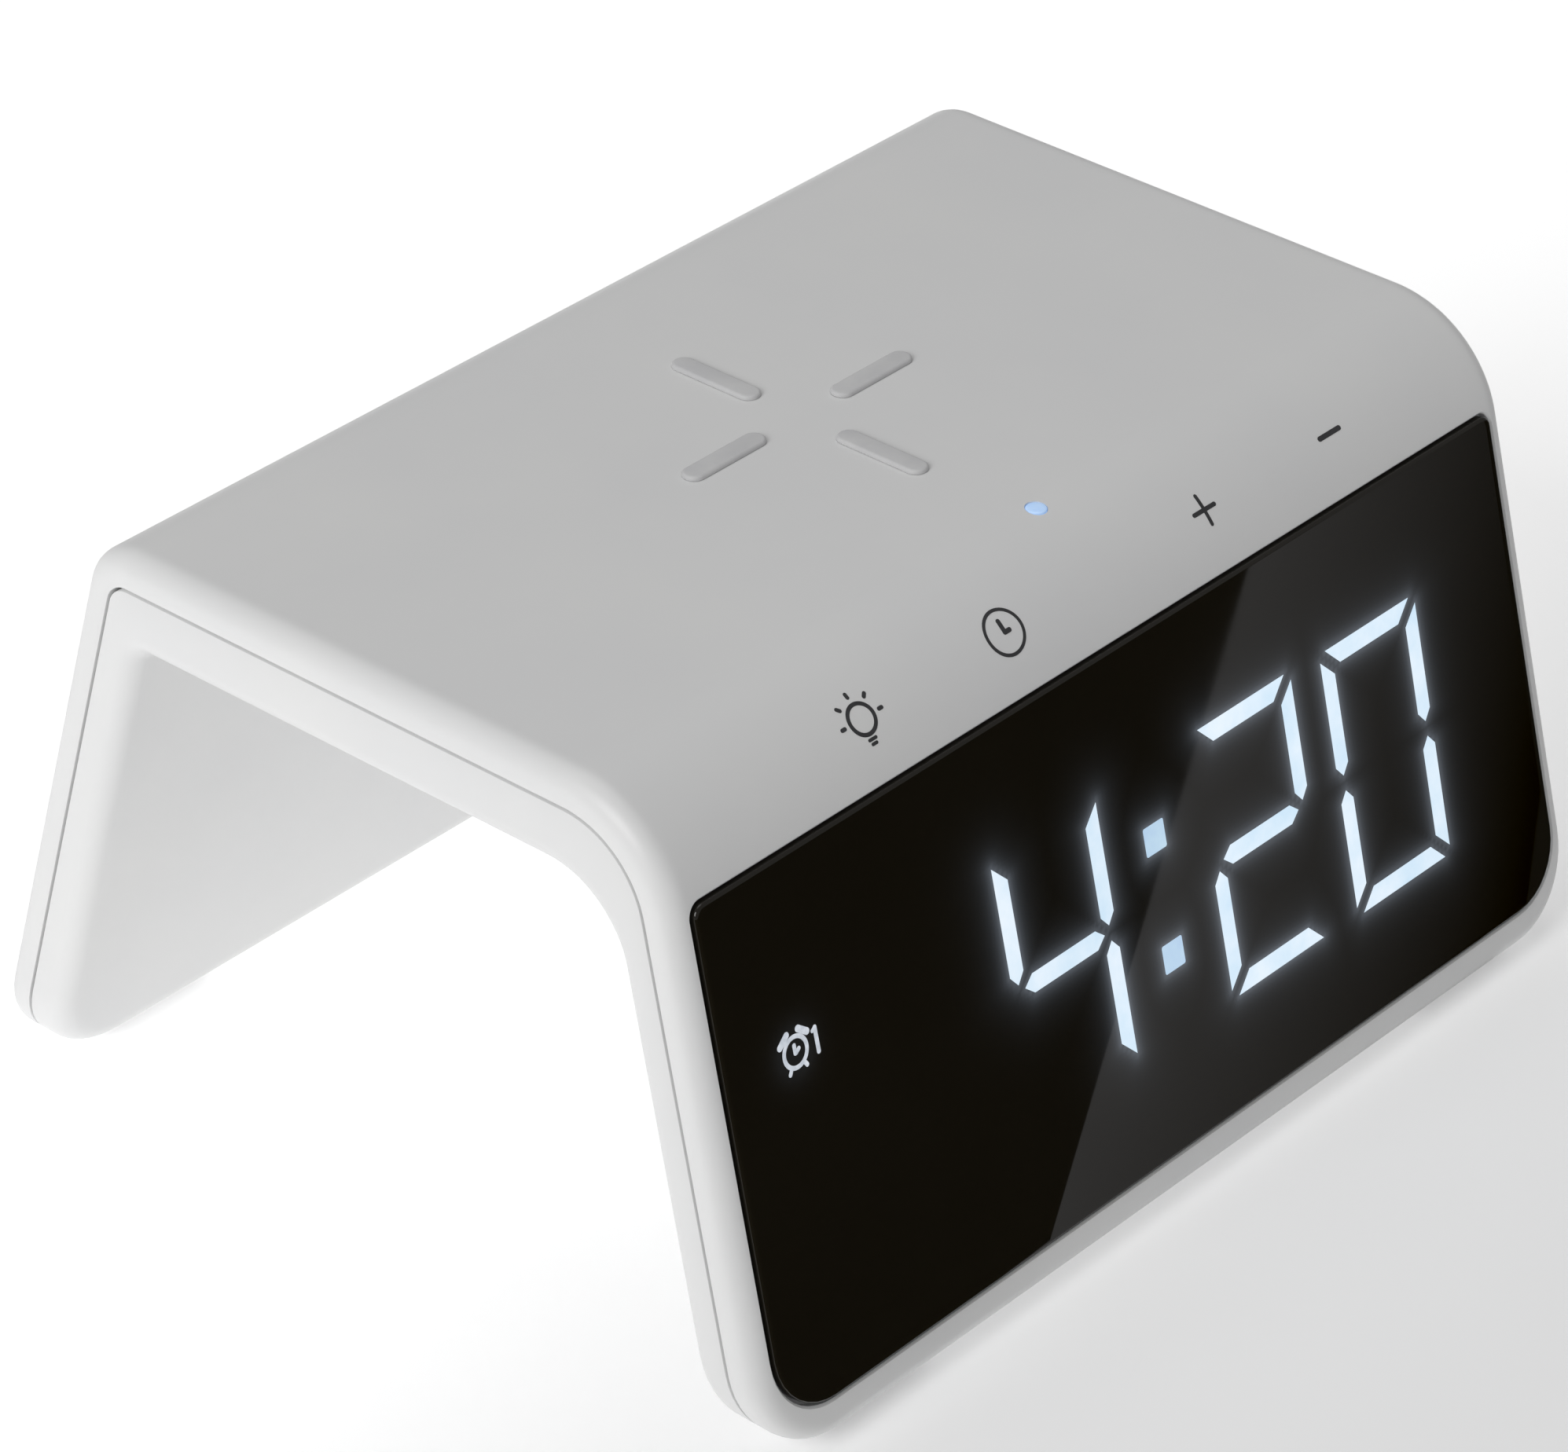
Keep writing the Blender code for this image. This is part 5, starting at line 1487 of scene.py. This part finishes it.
@dataclass
class TouchSigns:
    """Four printed signs on the front bend."""

    angle: float = math.radians(44.5)
    lamp_x: float = -30.9
    clock_x: float = -11.55
    plus_x: float = 16.95
    minus_x: float = 35.7
    levels: Pair = (-0.03, 0.02)

    def on_bend(self, points: Array) -> Array:
        """Wrap flat points round the front bend.

        A point's height becomes an angle, height over radius, and its level is added to the
        bend's radius.

        Args:
            points: x, height and level.

        Returns:
            Points in space.
        """
        casing = Casing()
        radius = casing.outer_bends[0]
        y_c, z_c = casing.bend_centre(True, 0.0, 0.0, radius)
        angle = self.angle + points[:, 1] / radius
        reach = radius + points[:, 2]
        return np.column_stack([points[:, 0], y_c - reach * np.cos(angle),
                                z_c + reach * np.sin(angle)])

    def lamp(self) -> list[Solid]:
        """Round lamp with five rays and a two-bar cap.

        Returns:
            Its parts, flat and about the origin.
        """
        solids = [flat_ring(1.48, 0.2, self.levels)]
        for turn in np.radians([0.0, 45.0, 90.0, 135.0, 180.0]):
            way = np.array([math.cos(turn), math.sin(turn)])
            solids.append(stroke(tuple(way * 2.25), tuple(way * 2.6), 0.2, self.levels))
        for level, half in ((-1.98, 0.42), (-2.42, 0.26)):
            solids.append(stroke((-half, level), (half, level), 0.16, self.levels))
        return solids

    def clock(self) -> list[Solid]:
        """Ring with two hands.

        Returns:
            Its parts, flat and about the origin.
        """
        return [flat_ring(2.2, 0.17, self.levels),
                stroke((0.0, -0.05), (0.0, 1.1), 0.24, self.levels),
                stroke((0.0, -0.05), (0.62, -0.05), 0.24, self.levels)]

    def plus(self) -> list[Solid]:
        """Plus sign, upright bar first."""
        return [stroke((0.0, -1.5), (0.0, 1.5), 0.2, self.levels),
                stroke((-1.45, 0.0), (1.45, 0.0), 0.22, self.levels)]

    def minus(self) -> list[Solid]:
        """Minus sign."""
        return [stroke((-1.45, 0.0), (1.45, 0.0), 0.26, self.levels)]

    def build(self) -> None:
        """Build and dress the four signs."""
        signs = (("sign_lamp", self.lamp_x, self.lamp()),
                 ("sign_clock", self.clock_x, self.clock()),
                 ("sign_plus", self.plus_x, self.plus()),
                 ("sign_minus", self.minus_x, self.minus()))
        for name, x, solids in signs:
            flat = joined(solids).placed(Matrix.Translation((x, 0.0, 0.0)))
            piece = make_object(name, flat.mapped(self.on_bend))
            dress(piece, INK, "casing", "casing_white")


# ---------------------------------------------------------------------------
# Pads, light and inner works
# ---------------------------------------------------------------------------

@dataclass
class Pads:
    """Soft parts: four feet under the legs and four grip strips on the shelf."""

    ease: float = 0.35
    ease_share: float = 0.8

    def pad(self, node: str, name: str, slot: str, up: bool) -> None:
        """Build one pad in a node's box, with an eased face.

        The eased edge is a quarter circle: the outline shrinks by one minus the sine while
        the level rises by one minus the cosine.

        Args:
            node: the node that it replaces.
            name: the pad's name.
            slot: its finish's slot.
            up: whether its eased face is the upper one.
        """
        box = NodeBox.of(node)
        low, high = box.low, box.high
        radius = min(box.half) * ROUND_END
        ease = min(self.ease, (high.z - low.z) * self.ease_share)
        turn = np.linspace(0.0, math.pi / 2.0, 6)
        shrink = -ease * (1.0 - np.cos(turn))
        rise = ease * (1.0 - np.sin(turn))
        face, base = (high.z, low.z) if up else (low.z, high.z)
        side = -1.0 if up else 1.0
        layers = [(0.0, base)] + [(float(s), float(face + side * r))
                                  for s, r in zip(shrink, rise)]
        piece = make_object(name, slab(box.half, (radius,) * 4, layers).placed(box.spot))
        dress(piece, FINISHES[slot], "casing", slot, node)

    def build(self) -> None:
        """Build and dress all eight pads."""
        for node in nodes_named("foot_"):
            self.pad(node, node.replace("foot", "rubber_foot"), "foot_rubber", False)
        for node in nodes_named("grip_strip_"):
            self.pad(node, node.replace("grip_strip", "silicone_strip"), "grip_silicone", True)


@dataclass
class ChargeLight:
    """Tip of the light pipe in the shelf."""

    dome: float = 0.12
    dome_turn: float = math.radians(84.0)

    def build(self) -> None:
        """Build the pin with a low domed tip, level with the shelf at its rim.

        Its profile's radius follows the cosine and its height the sine of an angle.
        """
        box = NodeBox.of("indicator_lens")
        radius = box.half[0]
        turn = np.linspace(0.0, self.dome_turn, 7)
        radii = np.concatenate([[radius], radius * np.cos(turn)])
        levels = np.concatenate([[box.low.z],
                                 box.high.z - self.dome * (1.0 - np.sin(turn))])
        angle = np.linspace(0.0, 2.0 * math.pi, 40, endpoint=False)
        circle = np.column_stack([np.cos(angle), np.sin(angle)])
        rings = np.array([np.column_stack([circle * size, np.full(len(angle), level)])
                          for size, level in zip(radii, levels)])
        piece = make_object("charge_light_tip", lofted(rings).placed(box.spot))
        dress(piece, FINISHES["lens_clear"], "casing", "lens_clear", "indicator_lens")


@dataclass
class InnerWorks:
    """Nodes of the frame that keep their shape: boards, coil, cell, loudspeaker, screws."""

    def dress_all(self) -> None:
        """Give every node the material of its slot in the record."""
        for part in frame["record"]["subparts"]:
            node = frame["nodes"][part["node"]]
            finish = FINISHES[part["material_slot"]]
            if not node.material_slots:
                node.data.materials.append(None)
            for slot in node.material_slots:
                slot.material = PALETTE.get(finish)
            LOG.info("%s: %s", node.name, finish.name)


# ---------------------------------------------------------------------------
# Studio
# ---------------------------------------------------------------------------

@dataclass
class Studio:
    """Pale floor, soft lights, reflection cards and the camera."""

    azimuth: float = math.radians(-48.402)
    elevation: float = math.radians(32.509)
    distance: float = 644.23
    slide: Pair = (-1.338, 25.61)
    focal: float = 8360.09
    picture_width: float = 1995.0
    sensor: float = 36.0
    floor_half: float = 6000.0
    floor_light: Pair = (0.19, 0.54)
    floor_rise: Pair = (-0.10, 0.05)

    def axes(self) -> tuple[Vector, Vector, Vector]:
        """Camera's right, up and forward directions.

        Returns:
            The three directions.
        """
        back = Vector((math.sin(self.azimuth) * math.cos(self.elevation),
                       -math.cos(self.azimuth) * math.cos(self.elevation),
                       math.sin(self.elevation)))
        right = (-back).cross(Vector((0.0, 0.0, 1.0))).normalized()
        return right, back.cross(right), -back

    def make_camera(self) -> None:
        """Camera on its line of sight, slid sideways and up, with no shift."""
        right, up, forward = self.axes()
        lens = bpy.data.cameras.new("studio_camera")
        lens.sensor_width = self.sensor
        lens.lens = self.focal / self.picture_width * self.sensor
        lens.clip_start = 0.01
        lens.clip_end = 50.0
        camera = bpy.data.objects.new("studio_camera", lens)
        place = (-forward * self.distance + right * self.slide[0] + up * self.slide[1]) * MM
        turn = Matrix((right, up, -forward)).transposed().to_4x4()
        camera.matrix_world = Matrix.Translation(place) @ turn
        bpy.context.scene.collection.objects.link(camera)
        bpy.context.scene.camera = camera

    def make_floor(self) -> None:
        """Wide sheet of pale paper with a little light of its own, more of it at the back."""
        size = self.floor_half
        corners = np.array([(-size, -size, 0.0), (size, -size, 0.0), (size, size, 0.0),
                            (-size, size, 0.0)])
        floor = make_object("floor", Solid(corners, [(0, 1, 2, 3)]))
        paper = PAPER.build()
        shader = paper.node_tree.nodes["Principled BSDF"]
        shader.inputs["Emission Color"].default_value = (1.0, 1.0, 1.0, 1.0)
        graph = Graph(paper.node_tree)
        place = graph.add("ShaderNodeTexCoord")
        parts = graph.add("ShaderNodeSeparateXYZ")
        rise = graph.add("ShaderNodeMapRange", interpolation_type="SMOOTHSTEP",
                         in_From_Min=self.floor_rise[0], in_From_Max=self.floor_rise[1],
                         in_To_Min=self.floor_light[0], in_To_Max=self.floor_light[1])
        graph.join(place.outputs["Object"], parts.inputs["Vector"])
        graph.join(parts.outputs["Y"], rise.inputs["Value"])
        graph.join(rise.outputs["Result"], shader.inputs["Emission Strength"])
        shader.inputs["Specular IOR Level"].default_value = 0.0
        floor.data.materials.append(paper)

    def card_material(self, name: str, colour: Colour, fade: bool) -> bpy.types.Material:
        """Plain light of one colour, fading across the card if asked.

        Args:
            name: the material's name.
            colour: its colour.
            fade: whether it fades from the card's first side to its other side.

        Returns:
            The material.
        """
        made = bpy.data.materials.new(name)
        made.use_nodes = True
        graph = Graph(made.node_tree)
        made.node_tree.nodes.remove(made.node_tree.nodes["Principled BSDF"])
        light = graph.add("ShaderNodeEmission")
        light.inputs["Color"].default_value = (*colour, 1.0)
        target = made.node_tree.nodes["Material Output"].inputs["Surface"]
        past_dark = -0.15
        if fade:
            across = graph.add("ShaderNodeAttribute", attribute_name="across")
            ramp = graph.add("ShaderNodeMapRange", in_To_Min=1.0, in_To_Max=past_dark)
            graph.join(across.outputs["Fac"], ramp.inputs["Value"])
            graph.join(ramp.outputs["Result"], light.inputs["Strength"])
        graph.join(light.outputs["Emission"], target)
        return made

    def make_card(self, name: str, corners: Array, colour: Colour, fade: bool) -> None:
        """Card that only reflections see.

        Args:
            name: its name.
            corners: its four corners in millimetres, the first two on its bright side.
            colour: its light.
            fade: whether it fades towards its other side.
        """
        card = make_object(name, Solid(corners, [(0, 1, 2, 3)]))
        spots = np.empty(len(card.data.vertices) * 3)
        card.data.vertices.foreach_get("co", spots)
        spots = spots.reshape(-1, 3) / MM
        near = np.linalg.norm(spots[:, None, :] - corners[None, :2, :], axis=-1).min(axis=1)
        layer = card.data.attributes.new("across", "FLOAT", "POINT")
        layer.data.foreach_set("value", (near > 1.0).astype(np.float32))
        card.data.materials.append(self.card_material(name, colour, fade))
        card.visible_camera = False
        card.visible_diffuse = False
        card.visible_shadow = False
        card.visible_transmission = False
        card.visible_volume_scatter = False

    def make_cards(self) -> None:
        """Dark card before the display, and the pale one that gives its slanting sheen."""
        left, right, away, edge, level = -900.0, 1500.0, -1500.0, -52.0, 0.4
        dark = np.array([(left, away, level), (right, away, level),
                         (right, edge, level), (left, edge, level)])
        self.make_card("dark_card", dark, (0.002, 0.002, 0.0015), False)
        before, beyond, width = 40.0, 400.0, 44.0
        start = np.array([-8.4, -63.3, 2.0 * level])
        end = np.array([174.7, -195.0, 2.0 * level])
        along = (end - start) / np.linalg.norm(end - start)
        across = np.array([-along[1], along[0], 0.0]) * width
        low = start - along * before
        high = end + along * beyond
        pale = np.array([low, high, high + across, low + across])
        self.make_card("pale_card", pale, (0.42, 0.42, 0.43), True)

    def make_light(self, name: str, place: tuple[float, float, float], size: float,
                   power: float) -> None:
        """Square soft light that faces the object.

        Args:
            name: its name.
            place: its place in metres.
            size: its side in metres.
            power: its power in watts.
        """
        lamp = bpy.data.lights.new(name, "AREA")
        lamp.shape = "SQUARE"
        lamp.size = size
        lamp.energy = power
        made = bpy.data.objects.new(name, lamp)
        made.location = place
        aim = Vector((0.0, 0.0, 0.03)) - Vector(place)
        made.rotation_euler = aim.to_track_quat("-Z", "Y").to_euler()
        bpy.context.scene.collection.objects.link(made)

    def make_world(self) -> None:
        """Even pale surroundings, brighter where the camera looks straight at them."""
        world = bpy.data.worlds.new("studio")
        world.use_nodes = True
        graph = Graph(world.node_tree)
        back = world.node_tree.nodes["Background"]
        path = graph.add("ShaderNodeLightPath")
        level = graph.add("ShaderNodeMapRange", in_To_Min=0.27, in_To_Max=0.94)
        back.inputs["Color"].default_value = (1.0, 1.0, 1.0, 1.0)
        graph.join(path.outputs["Is Camera Ray"], level.inputs["Value"])
        graph.join(level.outputs["Result"], back.inputs["Strength"])
        bpy.context.scene.world = world

    def build(self) -> None:
        """Build the whole studio."""
        self.make_camera()
        self.make_floor()
        self.make_cards()
        self.make_light("key", (-1.5, -0.10, 0.95), 0.9, 13.5)
        self.make_light("top", (0.15, 0.35, 1.7), 1.2, 5.0)
        self.make_world()
        view = bpy.context.scene.view_settings
        view.view_transform = "Standard"
        view.look = "None"


def main() -> None:
    """Build every piece in order and report it."""
    logging.basicConfig(level=logging.INFO, format="%(name)s %(message)s")
    Studio().build()
    InnerWorks().dress_all()
    Casing().build()
    Window().build()
    TouchSigns().build()
    Pads().build()
    ChargeLight().build()


if __name__ == "__main__":
    main()
